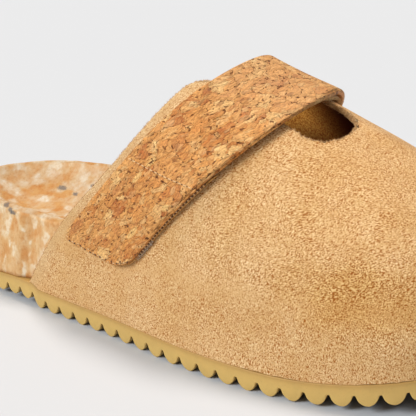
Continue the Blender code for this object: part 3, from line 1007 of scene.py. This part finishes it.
def strap_cork_look():
    """Cork fabric: thin flakes pressed flat, lying along the strap, with dark pores."""
    look = Look("strap_cork", 0.56, 0.22)
    place = look.stored("strap_mm", "Vector")
    bent = look.warp(look.warp(place, size=7.0, reach=1.9), size=1.7, reach=0.45)
    large = look.scaled(bent, (3.8, 7.0, 1.0))
    small = look.scaled(bent, (1.5, 3.0, 1.0))
    flake = look.channel(look.cells(large, "F1", "Color"), 0)
    chip = look.channel(look.cells(small, "F1", "Color"), 1)
    from_middle = look.vector("SUBTRACT", small, look.cells(small, "F1", "Position"))
    slope = look.dot(from_middle, look.vector("SUBTRACT", look.cells(small, "F1", "Color"), (0.5, 0.5, 0.5)))
    edge = look.cells(large, "DISTANCE_TO_EDGE", "Distance")
    chip_edge = look.cells(small, "DISTANCE_TO_EDGE", "Distance")
    grain = look.noise(look.scaled(bent, (0.45, 2.1, 1.0)), size=1.0, detail=3.0, roughness=0.6)
    ragged = look.minus(look.noise(place, size=1.1), 0.5)
    colour = look.ramp(flake, (
        (0.04, srgb(184, 108, 54)),
        (0.18, srgb(210, 140, 74)),
        (0.50, srgb(218, 157, 94)),
        (0.74, srgb(205, 137, 74)),
        (0.94, srgb(234, 187, 124)),
    ))
    small_colour = look.ramp(chip, (
        (0.04, srgb(180, 102, 46)),
        (0.26, srgb(210, 140, 70)),
        (0.78, srgb(218, 156, 90)),
        (0.95, srgb(238, 196, 136)),
    ))
    colour = look.mix(0.36, colour, small_colour)
    for row in FLAKE_ROWS:
        mark = dict(zip(FLAKE_COLUMNS, row))
        sizes = (mark["half_across"], mark["half_along"], 1.0)
        inside = look.spot(place, (mark["across"], mark["along"], 0.0), sizes, ragged)
        colour = look.tint(colour, inside, 0.6, srgb(*FLAKE_TONES[mark["tone"]]))
    streak = ((0.30, srgb(176, 144, 110)), (0.50, grey(1.0)), (0.70, grey(1.28)))
    colour = look.shade(colour, 0.85, grain, streak)
    crumb = look.noise(look.scaled(bent, (0.42, 0.6, 1.0)), size=1.0, detail=1.0)
    speck = ((0.30, srgb(150, 108, 70)), (0.48, grey(1.0)), (0.70, grey(1.20)))
    colour = look.shade(colour, 0.28, crumb, speck)
    colour = look.mix(1.0, colour, (1.04, 1.05, 0.99, 1.0), "MULTIPLY")
    # Painted sheen: paler over a stretch before the ridge.
    paler = look.step(look.channel(place, 1), *STRAP_PAINTED_SHEEN)
    colour = look.tint(colour, paler, 0.3, srgb(222, 178, 126))
    gape = look.times(look.step(look.noise(place, size=1.5), 0.51, 0.74), 0.135)
    crack = look.step(look.minus(edge, gape), 0.0, -0.04)
    gape = look.times(look.step(look.noise(place, size=1.0), 0.62, 0.84), 0.24)
    crack = look.sum("MAXIMUM", crack, look.step(look.minus(chip_edge, gape), 0.0, -0.05))
    colour = look.tint(colour, crack, 0.8, srgb(112, 54, 10))
    scattered = look.step(look.noise(place, size=3.0), 0.50, 0.64)
    pit = look.times(pits(look, place, 1.9, 0.26), scattered)
    colour = look.tint(colour, pit, 0.9, srgb(90, 40, 6))
    pit = look.sum("MAXIMUM", pit, crack)
    height = look.times(pit, -1.8)
    rims = ((look.step(edge, 0.0, 0.09), 0.4), (look.step(chip_edge, 0.0, 0.14), 0.2))
    for relief, amount in (*rims, (flake, 0.8), (slope, 2.4)):
        height = look.plus(height, look.times(relief, amount))
    normal = look.bump(height, depth=0.30, strength=0.95)
    normal = look.bump(grain, depth=0.30, strength=0.8, below=normal)
    return look.finish(colour, normal)


def pits(look, place, spacing, largest):
    """1 inside small pits of many sizes, about spacing millimetres apart."""
    spread = look.scaled(look.warp(place, size=0.7, reach=0.5), (spacing, spacing / 0.6, 1.0))
    away = look.cells(spread, "F1", "Distance")
    size = look.channel(look.cells(spread, "F1", "Color"), 2)
    rim = look.minus(away, look.times(size, largest))
    return look.step(rim, 0.05, -0.05)


def chips(look, place, sizes, softness, channel, streaks, tones):
    """Soft chips with streaks in them: their level, and their colour from deep to pale."""
    chip = look.channel(look.cells(look.scaled(place, sizes), "SMOOTH_F1", "Color", softness), channel)
    level = look.times(look.plus(chip, look.noise(look.scaled(place, streaks), size=1.0)), 0.5)
    return level, look.ramp(level, [(stop, srgb(*tone)) for stop, tone in zip(CHIP_STOPS, tones)])


def footbed_cork_look():
    """Moulded cork: soft chips that stand upright in the side wall and lie flat on the tread."""
    look = Look("footbed_cork", 0.75, 0.25)
    place = look.place()
    facing = look.add("ShaderNodeNewGeometry", {}).outputs["Normal"]
    level = look.step(look.channel(facing, 2), 0.45, 0.75)
    bent = look.warp(look.warp(place, size=8.0, reach=2.2), size=2.2, reach=0.7)
    tones = ((211, 160, 102), (218, 176, 124), (221, 186, 140), (228, 202, 164), (234, 216, 186))
    wall_chip, wall = chips(look, bent, (2.6, 2.6, 6.2), 0.5, 0, (1.7, 1.7, 6.0), tones)
    tones = ((193, 144, 86), (196, 161, 117), (199, 171, 135), (204, 185, 157), (212, 199, 178))
    tread_chip, tread = chips(look, bent, (6.2, 4.6, 4.6), 0.7, 1, (5.5, 3.4, 3.4), tones)
    colour = look.mix(level, wall, tread)
    cloud = look.noise(place, size=5.0, detail=3.0, roughness=0.6)
    colour = look.shade(colour, 0.9, cloud, ((0.34, srgb(246, 222, 194)), (0.60, grey(1.0))))
    crumb = look.noise(place, size=1.3, detail=3.0, roughness=0.6)
    speckle = ((0.32, srgb(238, 222, 204)), (0.5, grey(1.0)), (0.7, grey(1.04)))
    colour = look.shade(colour, 0.7, crumb, speckle)
    ragged = look.times(look.minus(look.noise(place, size=0.9), 0.5), 1.6)
    for row in FLECK_ROWS:
        middle = tuple(np.array(row[:3]) - ORIGIN)
        inside = look.spot(place, middle, row[3:], ragged, 0.4)
        colour = look.tint(colour, inside, 0.8, srgb(104, 98, 92))
    normal = look.bump(look.mix(level, wall_chip, tread_chip), depth=0.10, strength=0.5)
    normal = look.bump(crumb, depth=0.14, strength=0.5, below=normal)
    return look.finish(colour, normal)


def rubber_look():
    """Satin moulded rubber, a little browner along the top of the band, and darkened by painted shade inside
    the slots and underneath.
    """
    look = Look("outsole_rubber", 0.5, 0.35)
    place = look.place()
    band = look.stored("band", "Fac")
    cloud = look.noise(place, size=7.0, detail=3.0, roughness=0.6)
    speck = look.noise(place, size=0.7, roughness=0.6)
    # Band near 0 is painted shade: the slots and the underside turn dark brown.
    base = look.ramp(band, (
        (0.0, srgb(58, 38, 14)),
        (0.19, srgb(216, 177, 100)),
        (0.75, srgb(206, 165, 92)),
        (1.0, srgb(192, 148, 80)),
    ))
    colour = look.shade(base, 1.0, cloud, ((0.3, grey(0.93)), (0.65, grey(1.02))))
    colour = look.shade(colour, 0.6, speck, ((0.28, grey(0.90)), (0.45, grey(1.0))))
    normal = look.bump(speck, depth=0.05, strength=0.35)
    normal = look.bump(cloud, depth=0.25, strength=0.25, below=normal)
    return look.finish(colour, normal)


def felt_look(name, dark, light):
    """Matt brushed tape or lining."""
    look = Look(name, 0.95, 0.15)
    place = look.place()
    tuft = look.noise(look.warp(place, size=1.0, reach=0.4), size=0.5, detail=3.0, roughness=0.65)
    colour = look.ramp(tuft, ((0.35, dark), (0.62, light)))
    look.shader.inputs["Sheen Weight"].default_value = 0.15
    return look.finish(colour, look.bump(tuft, depth=0.2, strength=0.6))


def thread_look(name, dark, light):
    """Twisted thread."""
    look = Look(name, 0.7)
    twist = look.noise(look.place(), size=0.25, roughness=0.6)
    colour = look.ramp(twist, ((0.35, dark), (0.65, light)))
    return look.finish(colour, look.bump(twist, depth=0.06, strength=0.6))


def floor_look():
    look = Look("floor", 0.9, 0.0)
    cloud = look.noise(look.place(), size=300.0)
    colour = look.ramp(cloud, ((0.0, (0.594, 0.597, 0.601, 1.0)), (1.0, (0.600, 0.603, 0.607, 1.0))))
    look.plug(look.shader.inputs["Base Color"], colour)
    return look.material


def lug_profile(place, share, lean):
    """Round-bottomed lugs with narrow slots between them: 0 in a slot, 1 at the lowest point of a lug.

    Lean is how far that point lies off the middle of the lug, as a share of the pitch.
    """
    across = np.mod(place, 1.0) - 0.5 - lean
    reach = share / 2 - lean * np.sign(across)
    return np.cos(np.pi / 2 * np.clip(across / reach, -1.0, 1.0)).clip(0.0, 1.0) ** LUG_ROUNDING


def sole_ring(s, inset, height):
    """A ring of the outsole: height is a function of place along the shoe."""
    ring = outline(s, np.full(len(s), inset))
    return np.column_stack([ring, height(ring[:, 0])])


def add_outsole():
    count = LUG_COUNT * LUG_STEPS
    pitch = PERIMETER / LUG_COUNT
    place = np.arange(count) / LUG_STEPS
    s = place * pitch + math.fmod(LUG_PHASE, pitch)
    lean = LUG_LEAN * unit(edge_at(s + 1.0) - edge_at(s - 1.0))[:, 0]
    rings = [sole_ring(s, LUG_LENGTH, sole_top)]
    band = [1.0]
    for angle in BEVEL_TURNS[::-1]:
        inset = SOLE_ROUND * (1 - math.cos(angle))
        sink = SOLE_ROUND * (1 - math.sin(angle))
        rings.append(sole_ring(s, inset, lambda x: sole_top(x) - sink))
        band.append(1.0)
    low, high = LUG_DEPTH + 2 * LUG_BEVEL, LUG_DEPTH + BAND_HEIGHT - 2 * SOLE_ROUND
    for share in WALL_SHARES:
        rings.append(sole_ring(s, 0.0, lambda x: floor_lift(x) + low + (high - low) * share))
        band.append(WALL_SHADE + WALL_SHADE_RISE * share)
    for angle in BEVEL_TURNS:
        shrink = LUG_BEVEL * (1 - math.sin(angle))
        notch = LUG_DEPTH * (1 - lug_profile(place, LUG_SHARE - 2 * shrink / pitch, lean)) + shrink
        rings.append(sole_ring(s, LUG_BEVEL * (1 - math.cos(angle)), lambda x: floor_lift(x) + notch))
        band.append(LUG_SHADE)
    # The slot rings and the inner underside ring take low band values: painted shade.
    for inset, shade in zip(SLOT_INSETS, SLOT_SHADES):
        rings.append(sole_ring(s, inset, lambda x: floor_lift(x) + notch))
        band.append(shade)
    rings.append(sole_ring(s, LUG_LENGTH + LUG_FADE, floor_lift))
    band.append(0.0)
    values = {"band": np.repeat(band, count)}
    piece = add_piece("outsole_rubber", np.vstack(rings), closed_rings(rings), [rubber_look()],
                      values=values, sharp=LUG_SHARP)
    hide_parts("outsole")


def centre_line():
    """Middle of the outline along the foot."""
    x = np.linspace(HEEL_CENTRE, TOE_CENTRE, CENTRE_STEPS)
    middle = (edge_at(side_s(x, -1))[:, 1] + edge_at(side_s(x, 1))[:, 1]) / 2
    return x, middle


def add_footbed():
    s = np.arange(FOOTBED_STEPS) * PERIMETER / FOOTBED_STEPS
    x, y = edge_at(s).T
    medial = ease(-MEDIAL_BLEND, MEDIAL_BLEND, y)
    rim = footbed(x, "lateral_rim") * (1 - medial) + footbed(x, "medial_rim") * medial
    inset = footbed(x, "inset")
    taper = footbed(x, "taper")
    low = bed_base(x)
    rings = []
    for share in np.linspace(0.0, 1.0, FOOTBED_WALL_RINGS + 1):
        wall = outline(s, inset + taper * share ** TAPER_POWER)
        rings.append(np.column_stack([wall, low + (rim - RIM_ROUND - low) * share]))
    for angle in np.linspace(0.0, math.pi / 2, FOOTBED_RIM_RINGS + 1)[1:]:
        wall = outline(s, inset + taper + RIM_ROUND * (1 - math.cos(angle)))
        rings.append(np.column_stack([wall, rim - RIM_ROUND * (1 - math.sin(angle))]))
    top = rings[-1]
    centre_x = np.clip(top[:, 0], HEEL_CENTRE, TOE_CENTRE)
    centre_y = np.interp(centre_x, *centre_line())
    for share in np.linspace(0.0, BOWL_END, FOOTBED_BOWL_RINGS + 1)[1:]:
        ring_x = top[:, 0] + (centre_x - top[:, 0]) * share
        ring_y = top[:, 1] + (centre_y - top[:, 1]) * share
        tread = footbed(ring_x, "tread")
        rings.append(np.column_stack([ring_x, ring_y, tread + (rim - tread) * (1 - share) ** CUP_POWER]))
    points = np.vstack(rings)
    for point in points[FOOTBED_STEPS:]:
        point += FOOTBED_ROUGH * np.array(noise.noise_vector(Vector(point / FOOTBED_ROUGH_SIZE)))
    piece = add_piece("footbed_cork", points, closed_rings(rings), [footbed_cork_look()])
    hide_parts("footbed")


def edge_distance(grid):
    """Millimetres from the collar edge, along the rows of the upper's grid."""
    run = line_run(grid)
    return np.minimum(run, run[:, -1:] - run)


def hem_gap(s):
    """Space between the hem and the sole: two short stretches stand a little open."""
    rate, sway, sway_rate = HEM_WAVE
    gap = np.full(s.shape, HEM_GAP)
    for row in HEM_OPEN_ROWS:
        opening = dict(zip(HEM_OPEN_COLUMNS, row))
        span = np.exp(-(((s - opening["place"]) / opening["half_length"]) ** 4))
        gap += opening["gap"] * span * np.sin(s * rate + sway * np.sin(s * sway_rate)) ** 2
    return gap


def add_upper():
    s, w = upper_places()
    grid = upper_point(s, w)
    normals = upper_normal(s, w)
    hem = np.exp(-((w / HEM_REACH) ** 2))
    depth = fold_depth(grid) + pucker_depth(s, w, grid[..., 0]) - HEM_BULGE * hem
    grid = grid - normals * depth[..., None]
    grid[..., 2] -= hem * (grid[0, :, 2] - sole_top(grid[0, :, 0]) - hem_gap(s[0]))
    loop = boundary_loop(*grid.shape[:2])
    hem_edge = np.arange(len(loop)) < grid.shape[1]
    radius = np.where(hem_edge, HEM_ROUND, WALL_ROUND)
    jitter = np.where(loop < grid.shape[1] * UPPER_ROWS, COLLAR_JITTER, SLOT_JITTER)
    stray = np.where(hem_edge, 0.0, RANDOM.normal(0.0, 1.0, len(loop)) * jitter)
    grid.reshape(-1, 3)[loop] += outward_edge(grid, normals) * stray[:, None]
    points, faces, kinds, rings = rounded_shell(grid, normals, WALL, radius)
    values = {"edge_mm": shell_values(edge_distance(grid), *rings)}
    rubbed = srgb(212, 181, 137)
    suede = suede_look("upper_suede", srgb(164, 93, 30), srgb(219, 173, 117), srgb(246, 217, 168), rubbed)
    edge = suede_look("upper_cut_edge", srgb(176, 120, 62), srgb(216, 172, 116), srgb(240, 208, 160), rubbed)
    looks = [suede, edge, lining_look()]
    piece = add_piece("upper_suede", points, faces, looks, kinds, values)
    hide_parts("upper")
    add_fibres(grid, normals)


def spikes(roots, tips, radius):
    """Thin closed spikes from each root to its tip."""
    axis = unit(tips - roots)
    helper = np.where(np.abs(axis[:, 2:]) < UPRIGHT_LIMIT, (0.0, 0.0, 1.0), (1.0, 0.0, 0.0))
    first = unit(np.cross(axis, helper))
    second = np.cross(axis, first)
    corners = []
    for angle in (0.0, 2 * math.pi / 3, 4 * math.pi / 3):
        corners.append(roots + radius * (first * math.cos(angle) + second * math.sin(angle)))
    points = np.stack([*corners, tips], 1).reshape(-1, 3)
    faces = []
    for k in range(0, len(points), 4):
        faces += [[k, k + 2, k + 1], [k, k + 1, k + 3], [k + 1, k + 2, k + 3], [k + 2, k, k + 3]]
    return points, faces


def add_fibres(grid, normals):
    """Loose fibres that stand off the cut edge round collar and slot."""
    rows, columns, _ = grid.shape
    loop = boundary_loop(rows, columns)
    away = outward_edge(grid, normals)
    cut = np.arange(columns + 1, len(loop) - 1)
    rim = grid.reshape(-1, 3)[loop][cut]
    rim_up = normals.reshape(-1, 3)[loop][cut]
    run = line_run(rim)
    place = np.searchsorted(run, RANDOM.uniform(0.0, run[-1], FIBRE_COUNT)).clip(1, len(cut) - 1)
    share = RANDOM.uniform(0.0, 1.0, (FIBRE_COUNT, 1))
    root = rim[place - 1] + (rim[place] - rim[place - 1]) * share
    root = root - rim_up[place] * RANDOM.uniform(FIBRE_MARGIN, WALL - FIBRE_MARGIN, (FIBRE_COUNT, 1))
    root = root - away[cut][place] * FIBRE_ROOT
    lean = away[cut][place] + RANDOM.normal(0.0, FIBRE_LEAN, (FIBRE_COUNT, 3))
    reach = RANDOM.uniform(*FIBRE_LENGTH, (FIBRE_COUNT, 1))
    points, faces = spikes(root, root + unit(lean) * reach, FIBRE_RADIUS)
    fibre = thread_look("suede_fibre", srgb(176, 122, 66), srgb(226, 182, 126))
    add_piece("upper_fibres", points, faces, [fibre])


def strap_lift(across, along):
    """How far the front edge stands off the suede: a little all along, more past the ridge."""
    free = ease(0.0, FRONT_LIFT_FULL[0], along) * ease(FRONT_LIFT_END, FRONT_LIFT_FULL[1], along)
    curl = np.exp(-(((along - CURL_MIDDLE) / CURL_REACH) ** 4))
    return FRONT_LIFT * ease(FRONT_LIFT_ACROSS, 1.0, across) * free + CURL_LIFT * across * curl


def strap_run(grid):
    """Millimetres along each line of a strap grid, from the free end and from the ridge."""
    run = line_run(grid)
    ridge = np.array([np.interp(RIDGE_Y, line[:, 1], place) for line, place in zip(grid, run)])
    return run, run - ridge[:, None]


def add_strap():
    grid, normals = strap_sheet(0.0, 1.0, 0.0, 0.0, math.inf, STRAP_ALONG)
    across = np.linspace(0.0, 1.0, STRAP_ACROSS + 1)[:, None]
    along = np.linspace(0.0, 1.0, STRAP_ALONG + 1)[None, :]
    height = STRAP_GAP + STRAP_THICKNESS + strap_lift(across, along)
    outer = grid + normals * height[..., None]
    run, from_ridge = strap_run(outer)
    past_tape = ease(TAPE_LENGTH, TAPE_LENGTH + TAPE_FADE, run)
    thickness = CORK_THICKNESS + (CORK_FULL - CORK_THICKNESS) * past_tape
    points, faces, _, rings = rounded_shell(outer, normals, thickness, CORK_ROUND)
    wide = np.clip(across * STRAP_WIDTH, CORK_ROUND, STRAP_WIDTH - CORK_ROUND)
    flat = np.stack([np.broadcast_to(wide, run.shape), from_ridge, np.zeros(run.shape)], -1)
    values = {"strap_mm": shell_values(flat, *rings, (0.0, 0.0, EDGE_STEP))}
    piece = add_piece("strap_cork", points, faces, [strap_cork_look()], values=values)
    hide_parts("strap")
    add_strap_layers()
    add_strap_stitches(outer)


def add_layer(name, edges, past_end, run, steps, thickness, lifted, look):
    """A thin layer under the cork, following a share of the cork's lift."""
    grid, normals = strap_sheet(*edges, past_end, *run, steps)
    along = np.linspace(*run, steps + 1)[None, :] / STRAP_LENGTH
    across = np.linspace(*edges, STRAP_ACROSS + 1)[:, None]
    height = STRAP_GAP + thickness + strap_lift(across, along) * lifted
    outer = grid + normals * height[..., None]
    points, faces, _, _ = rounded_shell(outer, normals, thickness, LAYER_ROUND, 3)
    add_piece(name, points, faces, [look])
    return outer


def add_strap_layers():
    """The closing tape under the free end, and the turned-in layers where the edge curls up."""
    edges = (0.0, 1.0 + TAPE_MARGIN / STRAP_WIDTH)
    tape = felt_look("strap_tape", srgb(150, 90, 34), srgb(226, 174, 100))
    inner = felt_look("strap_inner", srgb(176, 128, 76), srgb(226, 186, 132))
    run = (0.0, TAPE_LENGTH)
    under = add_layer("strap_tape", edges, TAPE_PAST_END, run, TAPE_STEPS, TAPE_THICKNESS, 1.0, tape)
    add_tufts(under)
    for name, lifted in zip(("strap_fold", "strap_facing"), CURL_LAYERS):
        add_layer(name, CURL_EDGES, 0.0, CURL_RUN, CURL_STEPS, CURL_LAYER_THICKNESS, lifted, inner)


def add_tufts(under):
    """Loops of the closing tape that show at the front corner of the free end."""
    reach = int(TUFT_REACH / TAPE_LENGTH * under.shape[1])
    place = RANDOM.integers(1, reach, TUFT_COUNT)
    front, behind = under[-1, place], under[-2, place]
    root = behind + (front - behind) * RANDOM.uniform(*TUFT_ROOT, (TUFT_COUNT, 1))
    root = root + (under[-1, place + 1] - front) * RANDOM.uniform(0.0, 1.0, (TUFT_COUNT, 1))
    root = root - grid_normals(under)[-1, place] * RANDOM.uniform(0.0, TAPE_THICKNESS, (TUFT_COUNT, 1))
    lean = unit(front - behind) + RANDOM.normal(0.0, TUFT_LEAN, (TUFT_COUNT, 3))
    length = RANDOM.uniform(*TUFT_LENGTH, (TUFT_COUNT, 1))
    points, faces = spikes(root, root + unit(lean) * length, TUFT_RADIUS)
    loops = thread_look("tape_loop", srgb(214, 188, 156), srgb(252, 242, 228))
    add_piece("strap_tufts", points, faces, [loops])


def grid_place(grid, across, along, measure):
    """Points and normals of a strap grid at shares of its width and millimetres of a measure."""
    rows, columns, _ = grid.shape
    r = np.clip(across * (rows - 1), 0, rows - LAST_CELL)
    i = r.astype(int)
    a = (r - i)[:, None]
    lines = measure[i] * (1 - a) + measure[i + 1] * a
    c = np.array([np.interp(place, line, np.arange(columns)) for place, line in zip(along, lines)])
    c = np.clip(c, 0, columns - LAST_CELL)
    j = c.astype(int)
    b = (c - j)[:, None]

    def blend(values):
        near = values[i, j] * (1 - b) + values[i, j + 1] * b
        far = values[i + 1, j] * (1 - b) + values[i + 1, j + 1] * b
        return near * (1 - a) + far * a
    return blend(grid), unit(blend(grid_normals(grid)))


def evenly(points, normals, pitch):
    """Stations along a path at an even pitch: place, direction and normal."""
    run = line_run(points)
    place = np.arange(pitch / 2, run[-1], pitch)
    ahead = at_run(place + SLOPE_STEP, run, points) - at_run(place - SLOPE_STEP, run, points)
    return at_run(place, run, points), unit(ahead), unit(at_run(place, run, normals))


def beads(spots, ahead, up, length, width, height, sink):
    """Small rounded bars lying along a row: one closed mesh of all of them."""
    side = unit(np.cross(ahead, up))
    turns = BEAD_TURNS
    levels = np.radians(BEAD_LEVELS)
    shapes = []
    for level in levels:
        for k in range(turns):
            angle = 2 * math.pi * k / turns
            ring = side * width * math.cos(angle) * math.cos(level)
            ring = ring + up * height * math.sin(angle) * math.cos(level)
            shapes.append(spots + ring + ahead * length * math.sin(level) - up * sink)
    shapes.append(spots - ahead * length - up * sink)
    shapes.append(spots + ahead * length - up * sink)
    points = np.stack(shapes, 1)
    count = points.shape[1]
    faces = []
    for first in range(0, len(spots) * count, count):
        for level in range(len(levels) - 1):
            for k in range(turns):
                low, ahead_k = first + level * turns, (k + 1) % turns
                faces.append([low + k, low + ahead_k, low + turns + ahead_k, low + turns + k])
        last = first + (len(levels) - 1) * turns
        for k in range(turns):
            faces.append([first + k, first + count - 2, first + (k + 1) % turns])
            faces.append([last + k, last + (k + 1) % turns, first + count - 1])
    return points.reshape(-1, 3), faces


def add_beads(name, stations, look):
    points, faces = beads(*stations, *BEAD_SIZES[name])
    add_piece(name, points, faces, [look])


def add_strap_stitches(outer):
    """The rows round the free end and the cross seam above the closing tape."""
    # Dark beads stand in for the stitch holes: painted shade in the holes.
    dark = thread_look("stitch_hole_shade", srgb(62, 34, 12), srgb(112, 66, 28))
    pale = thread_look("pale_thread", srgb(204, 156, 100), srgb(238, 204, 154))
    run, from_ridge = strap_run(outer)
    inset = STITCH_INSET / STRAP_WIDTH
    across = np.linspace(1 - inset, inset * 2, END_ROW_STEPS)
    row, row_up = grid_place(outer, across, np.full(END_ROW_STEPS, STITCH_INSET), run)
    spots, ahead, up = evenly(row, row_up, STITCH_PITCH)
    stray = RANDOM.normal(0.0, STITCH_STRAY, spots.shape)
    spots = spots + stray - up * (stray * up).sum(axis=1, keepdims=True)
    add_beads("end_holes", (spots[::2], ahead[::2], up[::2]), dark)
    add_beads("end_stitches", (spots[1::2], ahead[1::2], up[1::2]), pale)
    down = np.linspace(FRONT_ROW_TOP, STITCH_INSET, FRONT_ROW_STEPS)
    front, front_up = grid_place(outer, np.ones(FRONT_ROW_STEPS), down, run)
    outwards = unit(np.cross(front_up, unit(np.gradient(front, axis=0))))
    if outwards[FRONT_ROW_STEPS // 2][0] < 0:
        outwards = -outwards
    front = front + outwards * FRONT_ROW_OUT - front_up * FRONT_ROW_DOWN
    add_beads("front_holes", evenly(front, front_up, STITCH_PITCH), dark)
    add_beads("front_stitches", evenly(front[2:], front_up[2:], STITCH_PITCH), pale)
    across = np.linspace(inset, 1 - inset, SEAM_STEPS)
    row, row_up = grid_place(outer, across, SEAM_START + SEAM_SLANT * across * STRAP_WIDTH, from_ridge)
    add_beads("seam_stitches", evenly(row, row_up, SEAM_PITCH), pale)
    between = row + unit(np.gradient(row, axis=0)) * SEAM_PITCH / 2
    add_beads("seam_holes", evenly(between, row_up, SEAM_PITCH), dark)


def add_floor():
    half = FLOOR_SIZE / 2
    mesh = bpy.data.meshes.new("floor")
    corners = [(-half, -half, 0.0), (half, -half, 0.0), (half, half, 0.0), (-half, half, 0.0)]
    mesh.from_pydata(corners, [], [(0, 1, 2, 3)])
    mesh.materials.append(floor_look())
    floor = bpy.data.objects.new("floor", mesh)
    bpy.context.scene.collection.objects.link(floor)


def add_camera():
    azimuth, elevation, roll = np.radians((CAMERA_AZIMUTH, CAMERA_ELEVATION, CAMERA_ROLL))
    back = np.array([
        math.sin(azimuth) * math.cos(elevation),
        -math.cos(azimuth) * math.cos(elevation),
        math.sin(elevation),
    ])
    right = np.array([math.cos(azimuth), math.sin(azimuth), 0.0])
    up = np.cross(back, right)
    across = right * math.cos(roll) + up * math.sin(roll)
    rise = up * math.cos(roll) - right * math.sin(roll)
    place = (np.array(CAMERA_PLACE) - ORIGIN) * MM
    data = bpy.data.cameras.new("camera")
    data.lens = CAMERA_LENS
    data.sensor_width = CAMERA_SENSOR
    camera = bpy.data.objects.new("camera", data)
    rows = np.column_stack([across, rise, back, place])
    camera.matrix_world = Matrix([*rows.tolist(), (0.0, 0.0, 0.0, 1.0)])
    bpy.context.scene.collection.objects.link(camera)
    bpy.context.scene.camera = camera


def add_light():
    scene = bpy.context.scene
    scene.view_settings.view_transform = "Standard"
    world = bpy.data.worlds.new("studio")
    world.use_nodes = True
    nodes, links = world.node_tree.nodes, world.node_tree.links
    nodes["Background"].inputs["Color"].default_value = DOME_COLOUR
    toward = nodes.new("ShaderNodeTexCoord")
    split = nodes.new("ShaderNodeSeparateXYZ")
    rise = nodes.new("ShaderNodeMapRange")
    rise.inputs["To Min"].default_value = DOME_LOW
    rise.inputs["To Max"].default_value = DOME_HIGH
    links.new(toward.outputs["Generated"], split.inputs[0])
    links.new(split.outputs["Z"], rise.inputs["Value"])
    links.new(rise.outputs[0], nodes["Background"].inputs["Strength"])
    scene.world = world
    for row in LAMP_ROWS:
        lamp = dict(zip(LAMP_COLUMNS, row))
        data = bpy.data.lights.new(lamp["name"], "SUN")
        data.energy = lamp["strength"]
        data.angle = math.radians(lamp["angle"])
        data.color = (lamp["red"], lamp["green"], lamp["blue"])
        light = bpy.data.objects.new(lamp["name"], data)
        light.rotation_mode = "QUATERNION"
        place = Vector((lamp["from_x"], lamp["from_y"], lamp["from_z"]))
        light.rotation_quaternion = place.to_track_quat("Z", "Y")
        scene.collection.objects.link(light)


add_camera()
add_light()
add_floor()
add_outsole()
add_footbed()
add_upper()
add_strap()
